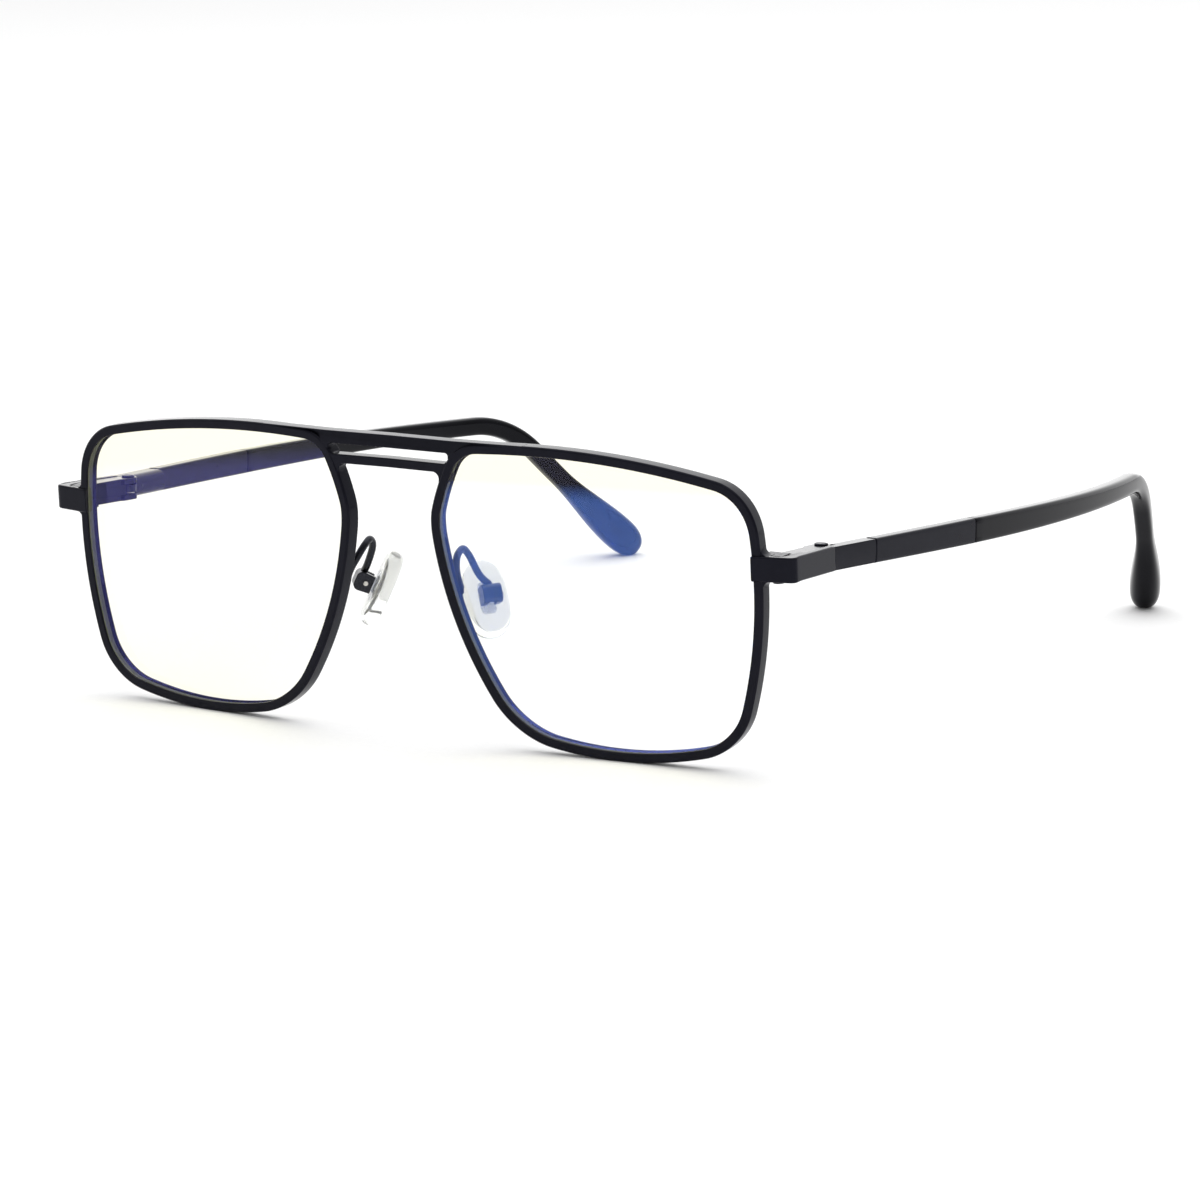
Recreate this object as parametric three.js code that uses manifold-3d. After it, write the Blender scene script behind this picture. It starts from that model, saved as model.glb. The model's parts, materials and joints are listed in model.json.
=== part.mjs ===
// Blue light glasses: a full-rim metal front with a double bridge, two flat coated lenses,
// adjustable nose pads, and two temples on spring hinges with acetate ends.
// Millimetres. The design frame has x to the wearer's left, y to the back and z up, with the
// lenses upright. Each side is designed as the wearer's left, and the right is its mirror image.
// The pair is then tipped until it stands on both rims and both temple ends.
import * as THREE from "three";
import { mergeVertices } from "three/addons/utils/BufferGeometryUtils.js";
import Module from "manifold-3d";

const wasm = await Module();
wasm.setup();

const degrees = THREE.MathUtils.degToRad;

// ---- Driving dimensions -------------------------------------------------------------------

// Lenses
const OPENING_WIDTH = 55.0; // visible lens, nasal to temporal
const OPENING_HEIGHT = 46.5; // visible lens, top to bottom
const BRIDGE_WIDTH = 18.4; // between the two openings
const LENS_THICKNESS = 1.9;
const LENS_BEVEL = 0.6; // how far the V edge of the lens stands into the rim
const LENS_BEVEL_FLAT = 0.15; // width of the V's blunt tip
const FACE_FORM = degrees(4.6); // each lens plane turns back by this much at its temporal side

// Rims
const RIM_WIDTH = 1.55; // front view
const RIM_DEPTH = 2.6; // front to back
const RIM_CHAMFER = 0.25;
const RIM_SPLIT = 0.25; // cut in the rim's temporal side, which the lock screw closes

// Bridges
const TOP_BAR_HEIGHT = 2.1;
const BRIDGE_SLOT = 1.65; // between the two bars
const LOWER_BAR_HEIGHT = 1.5;
const BAR_DEPTH = 2.2;
const BAR_CHAMFER = 0.3;

// Endpieces: a strap in front of the rim, round the corner and back to the hinge
const ENDPIECE_HEIGHT = 4.0;
const ENDPIECE_MID = 8.1; // height of the strap's middle above the lens centre
const PLATE_THICKNESS = 0.4; // in front of the rim
const PLATE_TURN = degrees(10.5); // plate turns back towards the corner
const STRAP_THICKNESS = 1.35; // along the leg
const STRAP_CHAMFER = 0.3;
const CORNER_REACH = 6.95; // leg's outer face beyond the visible lens, at the corner
const CORNER_ROUND = 1.2;
const LEG_LENGTH = 15.45; // plate's front face to the seam
const LEG_INSET = 0.9; // how far the leg's outer face leans in from corner to seam

// Hinges
const TEMPLE_SLOPE = degrees(5.2); // temple below the lens normal, seen from the side
const TEMPLE_SPLAY = degrees(5.0); // temple outward of straight back, seen from above
const HINGE_INSET = 2.9; // hinge axis inside the temple's outer face
const HINGE_BEHIND_SEAM = 0.5;
const EAR_RADIUS = 1.5;
const SEAM_GAP = 0.12;
const TONGUE_HEIGHT = 1.25;
const TONGUE_WIDTH = 1.3;
const BUSH_FLANGE = 0.15;
const HINGE_SCREW_RADIUS = 0.55;
const HINGE_HEAD_RADIUS = 1.1;
const HINGE_HEAD_HEIGHT = 0.3;
const FLEX_ANGLE = degrees(8); // sprung travel outward of the open stop

// Spring cases
const CASE_LENGTH = 10.9; // hinge axis to the case's rear end
const CASE_HEIGHT = 3.75;
const CASE_THICKNESS = 3.5; // at mid height, where the inner side bulges
const CASE_TOP_THICKNESS = 2.1; // at its upper and lower edges
const CASE_BORE_RADIUS = 1.12;
const CASE_END_WALL = 0.7;
const SHAFT_RADIUS = 0.55;
const SHAFT_OFFSET = 0.9; // shaft outward of the hinge axis
const SLEEVE_LENGTH = 2.8;
const RETAINER_LENGTH = 0.6;
const SPRING_WIRE_RADIUS = 0.13;
const SPRING_TURNS = 6;
const PIN_RADIUS = 0.3;
const PIN_BEHIND_EARS = 1.9;

// Temples
const HINGE_TO_TIP = 39.8; // hinge axis to the front end of the acetate
const BAR_THICKNESS = 2.3;
const BAR_HEIGHT_FRONT = 3.95;
const BAR_HEIGHT_REAR = 4.1;
const BAR_PROUD = 0.1; // bar's outer face outside the case's
const BEND_DISTANCE = 113.4; // hinge axis to where the two straight runs would meet
const BEND_ANGLE = degrees(44.6);
const BEND_RADIUS = 20;
const DROP_LENGTH = 37.4; // from that meeting point to the end
const WRAP_START = 5; // behind the hinge axis
const WRAP_DEPTH = 27.4; // how far the end stands in from a straight temple
const WRAP_POWER = 3.3;
const TIP_THICKNESS = 3.1;
const TIP_HEIGHT_BEND = 3.4;
const BULB_THICKNESS = 5.5;
const BULB_HEIGHT = 6.4;
const BULB_FROM_END = 5.2; // widest point of the bulb before the end
const BULB_SWELL = 16; // length over which the drop swells to the bulb
const CORE_THICKNESS = 1.0;
const CORE_HEIGHT = 2.0;
const CORE_FROM_END = 12;

// Nose pads
const ARM_WIRE_RADIUS = 0.6;
const PAD_LENGTH = 13.0;
const PAD_WIDTH = 7.5;
const PAD_THICKNESS = 2.9;
const PAD_EDGE = 1.0; // rounding of the pad's rim
const PAD_BOX_WIDTH = 3.2;
const PAD_BOX_HEIGHT = 3.2;
const PAD_BOX_DEPTH = 3.0;
const PAD_BOX_CHEEK = 0.9;
const PAD_STANDOFF = 0.35; // pad's back to the box
const TAB_THICKNESS = 0.9;
const TAB_HEIGHT = 1.7;
const PAD_SCREW_RADIUS = 0.4;
const PAD_HEAD_RADIUS = 0.8;
const INSERT_LENGTH = 8.5;
const INSERT_WIDTH = 4.2;
const INSERT_THICKNESS = 0.6;

// Rim locks
const LOCK_WIDTH = 2.7; // outward of the rim
const LOCK_DEPTH = 2.6; // front to back
const LOCK_HALF_HEIGHT = 1.8;
const LOCK_SCREW_RADIUS = 0.55;
const LOCK_HEAD_RADIUS = 0.95;
const LOCK_HEAD_HEIGHT = 0.6;

// Fits
const SEAT = 0.05; // between pieces that are brazed, pressed or seated
const RUNNING = 0.05; // round a pin or shaft that turns or slides
const OVERCUT = 1; // how far a cutting shape runs past the piece it cuts
const ROUND_SIDES = 16; // sides of a small round
const OUTLINE_STEPS = 6; // steps along each stretch of the lens outline

// ---- Finishes -----------------------------------------------------------------------------

const finish = (color, roughness, metalness, opacity = 1) =>
  new THREE.MeshStandardMaterial({ color, roughness, metalness, opacity, transparent: opacity < 1 });
const BLACK_METAL = finish(0x23242b, 0.35, 0.6);
const DARK_STEEL = finish(0x4a4b50, 0.35, 0.9);
const BRIGHT_STEEL = finish(0xb9bcc2, 0.25, 1.0);
const BLACK_ACETATE = finish(0x101014, 0.12, 0.0);
const CLEAR_LENS = finish(0xf4f2dc, 0.03, 0.0, 0.25);
const CLEAR_SILICONE = finish(0xdfe3e8, 0.3, 0.0, 0.5);

// ---- Solids -------------------------------------------------------------------------------

function solidOf(geometry) {
  const bare = geometry.clone();
  bare.deleteAttribute("normal");
  bare.deleteAttribute("uv");
  const merged = mergeVertices(bare, 1e-4);
  return new wasm.Manifold(
    new wasm.Mesh({
      numProp: 3,
      vertProperties: merged.attributes.position.array,
      triVerts: new Uint32Array(merged.index.array),
    }),
  );
}

function geometryOf(solid) {
  const mesh = solid.getMesh();
  const geometry = new THREE.BufferGeometry();
  geometry.setAttribute("position", new THREE.BufferAttribute(mesh.vertProperties, 3));
  geometry.setIndex(new THREE.BufferAttribute(mesh.triVerts, 1));
  geometry.computeVertexNormals();
  return geometry;
}

function box(x, y, z) {
  const geometry = new THREE.BoxGeometry(x[1] - x[0], y[1] - y[0], z[1] - z[0]);
  geometry.translate((x[0] + x[1]) / 2, (y[0] + y[1]) / 2, (z[0] + z[1]) / 2);
  return solidOf(geometry);
}

// A round bar from one distance to another along x, y or z, centred on the other two.
function round(axis, radius, from, to, centre = [0, 0], sides = ROUND_SIDES) {
  const geometry = new THREE.CylinderGeometry(radius, radius, to - from, sides);
  geometry.translate(0, (from + to) / 2, 0);
  if (axis === "x") geometry.rotateZ(-Math.PI / 2).translate(0, centre[0], centre[1]);
  if (axis === "y") geometry.translate(centre[0], 0, centre[1]);
  if (axis === "z") geometry.rotateX(Math.PI / 2).translate(centre[0], centre[1], 0);
  return solidOf(geometry);
}

// A shape drawn in x and z, made solid between two distances along y.
function frontPlate(shape, front, back, chamfer = 0, offset = 0) {
  const geometry = new THREE.ExtrudeGeometry(shape, {
    depth: back - front - 2 * chamfer,
    curveSegments: OUTLINE_STEPS,
    bevelEnabled: chamfer > 0,
    bevelThickness: chamfer,
    bevelSize: chamfer,
    bevelOffset: offset - chamfer,
    bevelSegments: 1,
  });
  geometry.rotateX(Math.PI / 2).translate(0, back - chamfer, 0);
  return solidOf(geometry);
}

function moved(solid, matrix) {
  return solidOf(geometryOf(solid).applyMatrix4(matrix));
}

function mesh(name, solid, material) {
  const piece = new THREE.Mesh(geometryOf(solid), material);
  piece.name = name;
  return piece;
}

// ---- Lens outline -------------------------------------------------------------------------

// Corners of the opening about its centre, clockwise from the top nasal one. Each has its
// rounding, as a setback along both edges, and the outward bow of the edge that leaves it.
const halfWidth = OPENING_WIDTH / 2;
const halfHeight = OPENING_HEIGHT / 2;
const CORNERS = [
  { x: -halfWidth + 4.0, z: halfHeight, setback: 3.2, bow: 1.33 }, // top nasal
  { x: halfWidth, z: halfHeight - 3.9, setback: 6.5, bow: 1.34 }, // top temporal
  { x: halfWidth - 3.15, z: -halfHeight + 1.85, setback: 6.75, bow: 1.36 }, // low temporal
  { x: -halfWidth + 12.0, z: -halfHeight + 0.95, setback: 7.0, bow: 1.44 }, // low nasal
  { x: -halfWidth - 0.6, z: halfHeight - 12.2, setback: 2.2, bow: 0.19 }, // nose side
];
const CORNER_FULLNESS = 0.6; // how far each rounding's handles reach to its corner

const edges = CORNERS.map((corner, i) => {
  const next = CORNERS[(i + 1) % CORNERS.length];
  const a = new THREE.Vector2(corner.x, corner.z);
  const b = new THREE.Vector2(next.x, next.z);
  const along = b.clone().sub(a).normalize();
  const outward = new THREE.Vector2(-along.y, along.x);
  const start = a.clone().addScaledVector(along, corner.setback);
  const end = b.clone().addScaledVector(along, -next.setback);
  const control = start.clone().add(end).multiplyScalar(0.5).addScaledVector(outward, 2 * corner.bow);
  return { start, end, control };
});

function crossing(p, towards, q, from) {
  const d = p.clone().sub(towards);
  const e = q.clone().sub(from);
  const s = (q.clone().sub(p).cross(e)) / d.cross(e);
  return p.clone().addScaledVector(d, s);
}

const openingShape = new THREE.Shape();
openingShape.moveTo(edges[0].start.x, edges[0].start.y);
edges.forEach((edge, i) => {
  const next = edges[(i + 1) % edges.length];
  const corner = crossing(edge.end, edge.control, next.start, next.control);
  const c1 = edge.end.clone().lerp(corner, CORNER_FULLNESS);
  const c2 = next.start.clone().lerp(corner, CORNER_FULLNESS);
  openingShape.quadraticCurveTo(edge.control.x, edge.control.y, edge.end.x, edge.end.y);
  openingShape.bezierCurveTo(c1.x, c1.y, c2.x, c2.y, next.start.x, next.start.y);
});

// ---- Places in the design frame -----------------------------------------------------------

const lensCentreX = BRIDGE_WIDTH / 2 + halfWidth;
const lensFrame = new THREE.Matrix4().makeRotationZ(FACE_FORM);
lensFrame.setPosition(lensCentreX, 0, 0);

// y of the rim's front face at a distance x from the middle.
const rimFrontAt = (x) => Math.tan(FACE_FORM) * (x - lensCentreX) - RIM_DEPTH / 2 / Math.cos(FACE_FORM);

const openingEdgeX = lensCentreX + halfWidth; // temporal edge of the visible lens
const cornerX = openingEdgeX + CORNER_REACH;
const seamX = cornerX - LEG_INSET;
const plateInnerX = openingEdgeX - 0.2;
const plateFrontY = rimFrontAt(plateInnerX) - SEAT - PLATE_THICKNESS;
const seamY = plateFrontY + LEG_LENGTH;
const hingeX = seamX - HINGE_INSET;
const hingeY = seamY + HINGE_BEHIND_SEAM;
const legBendY = plateFrontY + 3.4; // where the leg starts to slope down
const hingeZ = ENDPIECE_MID - Math.tan(TEMPLE_SLOPE) * (hingeY - legBendY);

const hingeFrame = new THREE.Matrix4().makeRotationX(-TEMPLE_SLOPE);
hingeFrame.setPosition(hingeX, hingeY, hingeZ);

// ---- Rims, lenses and locks ---------------------------------------------------------------

function rimEnvelope(gap) {
  const half = RIM_DEPTH / 2 + gap;
  return moved(frontPlate(openingShape, -half, half, RIM_CHAMFER, RIM_WIDTH + gap), lensFrame);
}

function lensBlank(grow, offset) {
  const half = LENS_THICKNESS / 2 + grow;
  const slope = half - LENS_BEVEL_FLAT / 2;
  const geometry = new THREE.ExtrudeGeometry(openingShape, {
    depth: LENS_BEVEL_FLAT,
    curveSegments: OUTLINE_STEPS,
    bevelThickness: slope,
    bevelSize: LENS_BEVEL,
    bevelOffset: offset,
    bevelSegments: 1,
  });
  geometry.rotateX(Math.PI / 2).translate(0, LENS_BEVEL_FLAT / 2, 0);
  return moved(solidOf(geometry), lensFrame);
}

const rimOuter = rimEnvelope(0);
const rimClearance = rimEnvelope(SEAT);
const openingHalfDepth = RIM_DEPTH / 2 + OVERCUT;
const opening = moved(frontPlate(openingShape, -openingHalfDepth, openingHalfDepth), lensFrame);
const splitCut = box(
  [openingEdgeX - OVERCUT, openingEdgeX + RIM_WIDTH + OVERCUT],
  [rimFrontAt(openingEdgeX) - OVERCUT, rimFrontAt(openingEdgeX) + RIM_DEPTH + OVERCUT],
  [ENDPIECE_MID - RIM_SPLIT / 2, ENDPIECE_MID + RIM_SPLIT / 2],
);
const rimSolid = rimOuter.subtract(opening).subtract(lensBlank(SEAT, 0)).subtract(splitCut);
const lensSolid = lensBlank(0, -2 * SEAT);

// The lock: two blocks behind the endpiece, one brazed to each end of the split rim.
const lockFrontY = plateFrontY + PLATE_THICKNESS + STRAP_THICKNESS + 0.3;
const lockX = [openingEdgeX + RIM_WIDTH / 2, openingEdgeX + RIM_WIDTH + LOCK_WIDTH];
const lockAxis = [
  (openingEdgeX + RIM_WIDTH + lockX[1]) / 2,
  lockFrontY + LOCK_DEPTH / 2,
];
const lockGap = RIM_SPLIT / 2;
const lockTop = ENDPIECE_MID + lockGap + LOCK_HALF_HEIGHT;
const lockBottom = ENDPIECE_MID - lockGap - LOCK_HALF_HEIGHT;
function lockBlock(low, high, holeRadius) {
  const blank = box(lockX, [lockFrontY, lockFrontY + LOCK_DEPTH], [low, high]).subtract(rimClearance);
  const hole = round("z", holeRadius, low - OVERCUT, high + OVERCUT, lockAxis);
  return blank.subtract(hole);
}
const lockScrewSolid = round("z", LOCK_SCREW_RADIUS, lockBottom - SEAT, lockTop, lockAxis).add(
  round("z", LOCK_HEAD_RADIUS, lockBottom - SEAT - LOCK_HEAD_HEIGHT, lockBottom - SEAT, lockAxis),
).subtract(
  box(
    [lockAxis[0] - LOCK_HEAD_RADIUS - OVERCUT, lockAxis[0] + LOCK_HEAD_RADIUS + OVERCUT],
    [lockAxis[1] - 0.15, lockAxis[1] + 0.15],
    [lockBottom - SEAT - LOCK_HEAD_HEIGHT - OVERCUT, lockBottom - SEAT - LOCK_HEAD_HEIGHT + 0.25],
  ),
);

// ---- Bridges ------------------------------------------------------------------------------

// A bar across the middle, cut to fit both rims. Its upper edge rises by `crown` at the middle.
const barFrontY = rimFrontAt(lensCentreX - halfWidth + 3);
const mirrored = new THREE.Matrix4().makeScale(-1, 1, 1);
const rimClearanceRight = rimClearance.mirror([1, 0, 0]);
function bridgeBar(reach, top, height, crown) {
  const shape = new THREE.Shape();
  shape.moveTo(-reach, top - height);
  shape.quadraticCurveTo(0, top - height + 2 * crown, reach, top - height);
  shape.lineTo(reach, top);
  shape.quadraticCurveTo(0, top + 2 * crown, -reach, top);
  shape.closePath();
  const bar = frontPlate(shape, barFrontY, barFrontY + BAR_DEPTH, BAR_CHAMFER);
  return bar.subtract(rimClearance).subtract(rimClearanceRight);
}
const rimTop = halfHeight + RIM_WIDTH + CORNERS[0].bow * 0.05;
const topBarReach = lensCentreX - halfWidth + 5.6;
const lowerBarTop = rimTop - TOP_BAR_HEIGHT - BRIDGE_SLOT;
const topBarSolid = bridgeBar(topBarReach, rimTop, TOP_BAR_HEIGHT, 0.05);
const lowerBarSolid = bridgeBar(lensCentreX - halfWidth + 3, lowerBarTop, LOWER_BAR_HEIGHT, 0.05);

// ---- Endpieces ----------------------------------------------------------------------------

const legSlope = LEG_INSET / (LEG_LENGTH - CORNER_ROUND);
const strapShape = new THREE.Shape();
const plateSlope = Math.tan(PLATE_TURN);
const cornerFrontX = cornerX - CORNER_ROUND;
const cornerFrontY = plateFrontY + plateSlope * (cornerFrontX - plateInnerX);
const cornerSideY = cornerFrontY + CORNER_ROUND;
const plateBack = plateFrontY + PLATE_THICKNESS + STRAP_THICKNESS;
strapShape.moveTo(plateInnerX, plateFrontY);
strapShape.lineTo(cornerFrontX, cornerFrontY);
strapShape.quadraticCurveTo(cornerX, cornerFrontY + plateSlope * CORNER_ROUND, cornerX, cornerSideY);
strapShape.lineTo(seamX - legSlope * SEAM_GAP, seamY + OVERCUT);
strapShape.lineTo(seamX - STRAP_THICKNESS, seamY + OVERCUT);
strapShape.lineTo(cornerX - STRAP_THICKNESS, cornerSideY + 1.2);
strapShape.quadraticCurveTo(cornerX - STRAP_THICKNESS, plateBack, cornerX - STRAP_THICKNESS - 1.2, plateBack);
strapShape.lineTo(plateInnerX, plateBack);
strapShape.closePath();

// Heights slide down along the leg, so that it slopes as the temple does.
function slopedDown(geometry) {
  const at = geometry.attributes.position;
  for (let i = 0; i < at.count; i++) {
    const behind = Math.max(0, at.getY(i) - legBendY);
    at.setZ(i, at.getZ(i) - Math.tan(TEMPLE_SLOPE) * behind);
  }
  return geometry;
}

const strapGeometry = new THREE.ExtrudeGeometry(strapShape, {
  depth: ENDPIECE_HEIGHT - 2 * STRAP_CHAMFER,
  curveSegments: 5,
  bevelThickness: STRAP_CHAMFER,
  bevelSize: STRAP_CHAMFER,
  bevelOffset: -STRAP_CHAMFER,
  bevelSegments: 1,
});
strapGeometry.translate(0, 0, ENDPIECE_MID - ENDPIECE_HEIGHT / 2 + STRAP_CHAMFER);

// Hinge pieces below are drawn in the hinge frame: its origin is on the hinge axis, z runs
// along the axis, and y runs back along the leg.
const earHalf = ENDPIECE_HEIGHT / 2 - STRAP_CHAMFER / 2;
const slotHalf = TONGUE_HEIGHT / 2 + BUSH_FLANGE + 1.5 * RUNNING;
const earRootY = -9;
const rootHalf = earHalf - 0.15;
const rootOuterX = HINGE_INSET - 0.6;
const legEndY = -HINGE_BEHIND_SEAM - SEAM_GAP / 2;
const strapOuterX = HINGE_INSET + 0.5;
const ears = round("z", EAR_RADIUS, -earHalf, earHalf)
  .add(box([-EAR_RADIUS, rootOuterX], [-3, 0], [-earHalf, earHalf]))
  .add(box([-EAR_RADIUS + 0.4, rootOuterX], [earRootY, 0], [-rootHalf, rootHalf]));
const templeTurn = new THREE.Matrix4().makeRotationZ(-TEMPLE_SPLAY);
const legEndCut = moved(
  box([EAR_RADIUS, strapOuterX + OVERCUT], [legEndY, 4], [-4, 4]).add(
    box([-4, 4], [0.4, 4], [-4, 4]).subtract(round("z", EAR_RADIUS, -4.5, 4.5)),
  ),
  templeTurn,
);
const tongueSweep = round("z", EAR_RADIUS + 2 * RUNNING, -slotHalf, slotHalf).add(
  box([-EAR_RADIUS - OVERCUT, 0], [-EAR_RADIUS - 2 * RUNNING, 0], [-slotHalf, slotHalf]),
);
const hingeHole = round("z", HINGE_SCREW_RADIUS + RUNNING, -4, 4);
const counterbore = round("z", HINGE_HEAD_RADIUS + RUNNING, earHalf - 0.1, 4);
const endpieceSolid = solidOf(slopedDown(strapGeometry))
  .add(moved(ears, hingeFrame))
  .subtract(moved(legEndCut, hingeFrame))
  .subtract(moved(tongueSweep, hingeFrame))
  .subtract(moved(hingeHole, hingeFrame))
  .subtract(moved(counterbore, hingeFrame))
  .subtract(rimClearance);

const hingeHeadTop = earHalf + HINGE_HEAD_HEIGHT;
const hingeScrewSolid = round("z", HINGE_SCREW_RADIUS, -earHalf, earHalf)
  .add(round("z", HINGE_HEAD_RADIUS, earHalf - 0.1 + SEAT, hingeHeadTop))
  .subtract(
    box(
      [-HINGE_HEAD_RADIUS - OVERCUT, HINGE_HEAD_RADIUS + OVERCUT],
      [-0.15, 0.15],
      [hingeHeadTop - 0.2, hingeHeadTop + OVERCUT],
    ),
  );

// ---- Spring hinge, drawn in the temple frame: y runs back along the temple ------------------

const bushRadius = HINGE_SCREW_RADIUS + RUNNING + 0.22;
const bushBottom = -TONGUE_HEIGHT / 2 - RUNNING / 2 - BUSH_FLANGE;
const bushSolid = round("z", bushRadius, bushBottom, TONGUE_HEIGHT / 2)
  .add(round("z", bushRadius + 0.3, bushBottom, bushBottom + BUSH_FLANGE))
  .subtract(round("z", HINGE_SCREW_RADIUS + RUNNING, -2, 2));

const caseFrontY = EAR_RADIUS + 0.15;
const caseRearY = CASE_LENGTH;
const sleeveFrontY = caseFrontY + 0.1;
const sleeveRearY = sleeveFrontY + SLEEVE_LENGTH;
const boreRearY = caseRearY - CASE_END_WALL;
const shaftRearY = boreRearY - 0.3;
const retainerRearY = shaftRearY - 0.1;
const retainerFrontY = retainerRearY - RETAINER_LENGTH;
const neckRearY = sleeveFrontY - SEAT;
const eyeRadius = EAR_RADIUS - 0.05;
const boreAxis = [SHAFT_OFFSET, 0];
const neckX = eyeRadius - TONGUE_WIDTH;

const tongueSolid = round("z", eyeRadius, -TONGUE_HEIGHT / 2, TONGUE_HEIGHT / 2)
  .add(box([neckX, neckX + TONGUE_WIDTH], [0, neckRearY], [-TONGUE_HEIGHT / 2, TONGUE_HEIGHT / 2]))
  .add(round("y", SHAFT_RADIUS, neckRearY - 0.3, shaftRearY, boreAxis))
  .subtract(round("z", bushRadius + RUNNING, -2, 2));

function ring(outer, inner, from, to) {
  const hole = round("y", inner, from - OVERCUT, to + OVERCUT, boreAxis);
  return round("y", outer, from, to, boreAxis).subtract(hole);
}
const pinY = caseFrontY + PIN_BEHIND_EARS;
// The pin goes two thirds of the way through the sleeve's wall.
const pinEndX = SHAFT_OFFSET - THREE.MathUtils.lerp(SHAFT_RADIUS, CASE_BORE_RADIUS, 0.65);
const pinHole = round("x", PIN_RADIUS + SEAT, -HINGE_INSET, pinEndX + SEAT, [pinY, 0], 12);
const sleeveSolid = ring(
  CASE_BORE_RADIUS - SEAT,
  SHAFT_RADIUS + RUNNING,
  sleeveFrontY,
  sleeveRearY,
).subtract(pinHole);
const retainerSolid = ring(
  CASE_BORE_RADIUS - 2 * RUNNING,
  SHAFT_RADIUS + SEAT,
  retainerFrontY,
  retainerRearY,
);

const springFrontY = sleeveRearY + SEAT + SPRING_WIRE_RADIUS;
const springRearY = retainerFrontY - SEAT - SPRING_WIRE_RADIUS;
const springRadius = SHAFT_RADIUS + 2 * RUNNING + SPRING_WIRE_RADIUS;
class Helix extends THREE.Curve {
  getPoint(t, target = new THREE.Vector3()) {
    const turn = 2 * Math.PI * SPRING_TURNS * t;
    const y = THREE.MathUtils.lerp(springFrontY, springRearY, t);
    return target.set(SHAFT_OFFSET + springRadius * Math.cos(turn), y, springRadius * Math.sin(turn));
  }
}
function wireShape(radius, sides) {
  const shape = new THREE.Shape();
  shape.absarc(0, 0, radius, 0, 2 * Math.PI, false);
  return new THREE.Shape(shape.getPoints(sides).slice(0, sides));
}
const springSolid = solidOf(
  new THREE.ExtrudeGeometry(wireShape(SPRING_WIRE_RADIUS, 5), {
    extrudePath: new Helix(),
    steps: 8 * SPRING_TURNS,
  }),
);

// The case: flat outside, bulging inside, with a thin outer wall that runs forward to the seam.
const caseOuterX = HINGE_INSET;
const caseInnerX = HINGE_INSET - CASE_THICKNESS;
const caseEdgeX = HINGE_INSET - CASE_TOP_THICKNESS;
const caseHalf = CASE_HEIGHT / 2;
const caseShape = new THREE.Shape();
caseShape.moveTo(caseOuterX, -caseHalf);
caseShape.lineTo(caseOuterX, caseHalf);
caseShape.lineTo(caseEdgeX, caseHalf);
caseShape.bezierCurveTo(caseInnerX, caseHalf - 0.2, caseInnerX, 0.8, caseInnerX, 0);
caseShape.bezierCurveTo(caseInnerX, -0.8, caseInnerX, -caseHalf + 0.2, caseEdgeX, -caseHalf);
caseShape.closePath();
const wallFrontY = -HINGE_BEHIND_SEAM + SEAM_GAP / 2;
const caseSolid = frontPlate(caseShape, wallFrontY, caseRearY)
  .subtract(box([caseInnerX - OVERCUT, EAR_RADIUS + 0.12], [wallFrontY - OVERCUT, caseFrontY], [-4, 4]))
  .subtract(round("y", CASE_BORE_RADIUS, caseFrontY - OVERCUT, boreRearY, boreAxis))
  .subtract(pinHole);
const casePinSolid = round("x", PIN_RADIUS, caseInnerX - 0.05, pinEndX, [pinY, 0], 12);

// ---- Temple run ---------------------------------------------------------------------------

// Side view: straight back, round the ear bend, and straight down to the end. `t` is the
// distance along that line from the hinge axis.
const arcSetback = BEND_RADIUS * Math.tan(BEND_ANGLE / 2);
const arcStart = BEND_DISTANCE - arcSetback;
const arcLength = BEND_RADIUS * BEND_ANGLE;
const templeLength = arcStart + arcLength + DROP_LENGTH - arcSetback;
function sideView(t) {
  if (t <= arcStart) return { y: t, z: 0 };
  const turned = Math.min((t - arcStart) / BEND_RADIUS, BEND_ANGLE);
  const after = Math.max(0, t - arcStart - arcLength);
  return {
    y: arcStart + BEND_RADIUS * Math.sin(turned) + after * Math.cos(BEND_ANGLE),
    z: -BEND_RADIUS * (1 - Math.cos(turned)) - after * Math.sin(BEND_ANGLE),
  };
}
const endY = sideView(templeLength).y;
const wrapAt = (y) => WRAP_DEPTH * Math.pow(Math.max(0, y - WRAP_START) / (endY - WRAP_START), WRAP_POWER);
const outerX = HINGE_INSET + BAR_PROUD;
function runPoint(t, inset) {
  const { y, z } = sideView(t);
  return new THREE.Vector3(outerX - inset - wrapAt(y), y, z);
}

// Sweeps a section of unit half-sizes along the run. `sizeAt` gives the section's thickness,
// height and inset from the outer line at each distance.
function sweep(section, from, to, steps, sizeAt, ease = 1) {
  const geometry = new THREE.ExtrudeGeometry(section, { depth: 1, steps, bevelEnabled: false });
  const at = geometry.attributes.position;
  const up = new THREE.Vector3(0, 0, 1);
  for (let i = 0; i < at.count; i++) {
    const share = 1 - Math.pow(1 - at.getZ(i), ease);
    const t = from + (to - from) * share;
    const { thickness, height, inset } = sizeAt(t);
    const here = runPoint(t, inset);
    const ahead = runPoint(t + 0.01, inset).sub(here).normalize();
    const inward = up.clone().cross(ahead).normalize();
    const over = ahead.clone().cross(inward);
    here.addScaledVector(inward, (at.getX(i) * thickness) / 2);
    here.addScaledVector(over, (at.getY(i) * height) / 2);
    at.setXYZ(i, here.x, here.y, here.z);
  }
  return solidOf(geometry);
}

// A rectangle with rounded corners, two units wide and high.
function softSquare(cornerShare) {
  const r = cornerShare;
  const shape = new THREE.Shape();
  shape.absarc(1 - r, 1 - r, r, 0, Math.PI / 2, false);
  shape.absarc(-1 + r, 1 - r, r, Math.PI / 2, Math.PI, false);
  shape.absarc(-1 + r, -1 + r, r, Math.PI, 1.5 * Math.PI, false);
  shape.absarc(1 - r, -1 + r, r, 1.5 * Math.PI, 2 * Math.PI, false);
  return new THREE.Shape(shape.getPoints(1));
}

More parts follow.
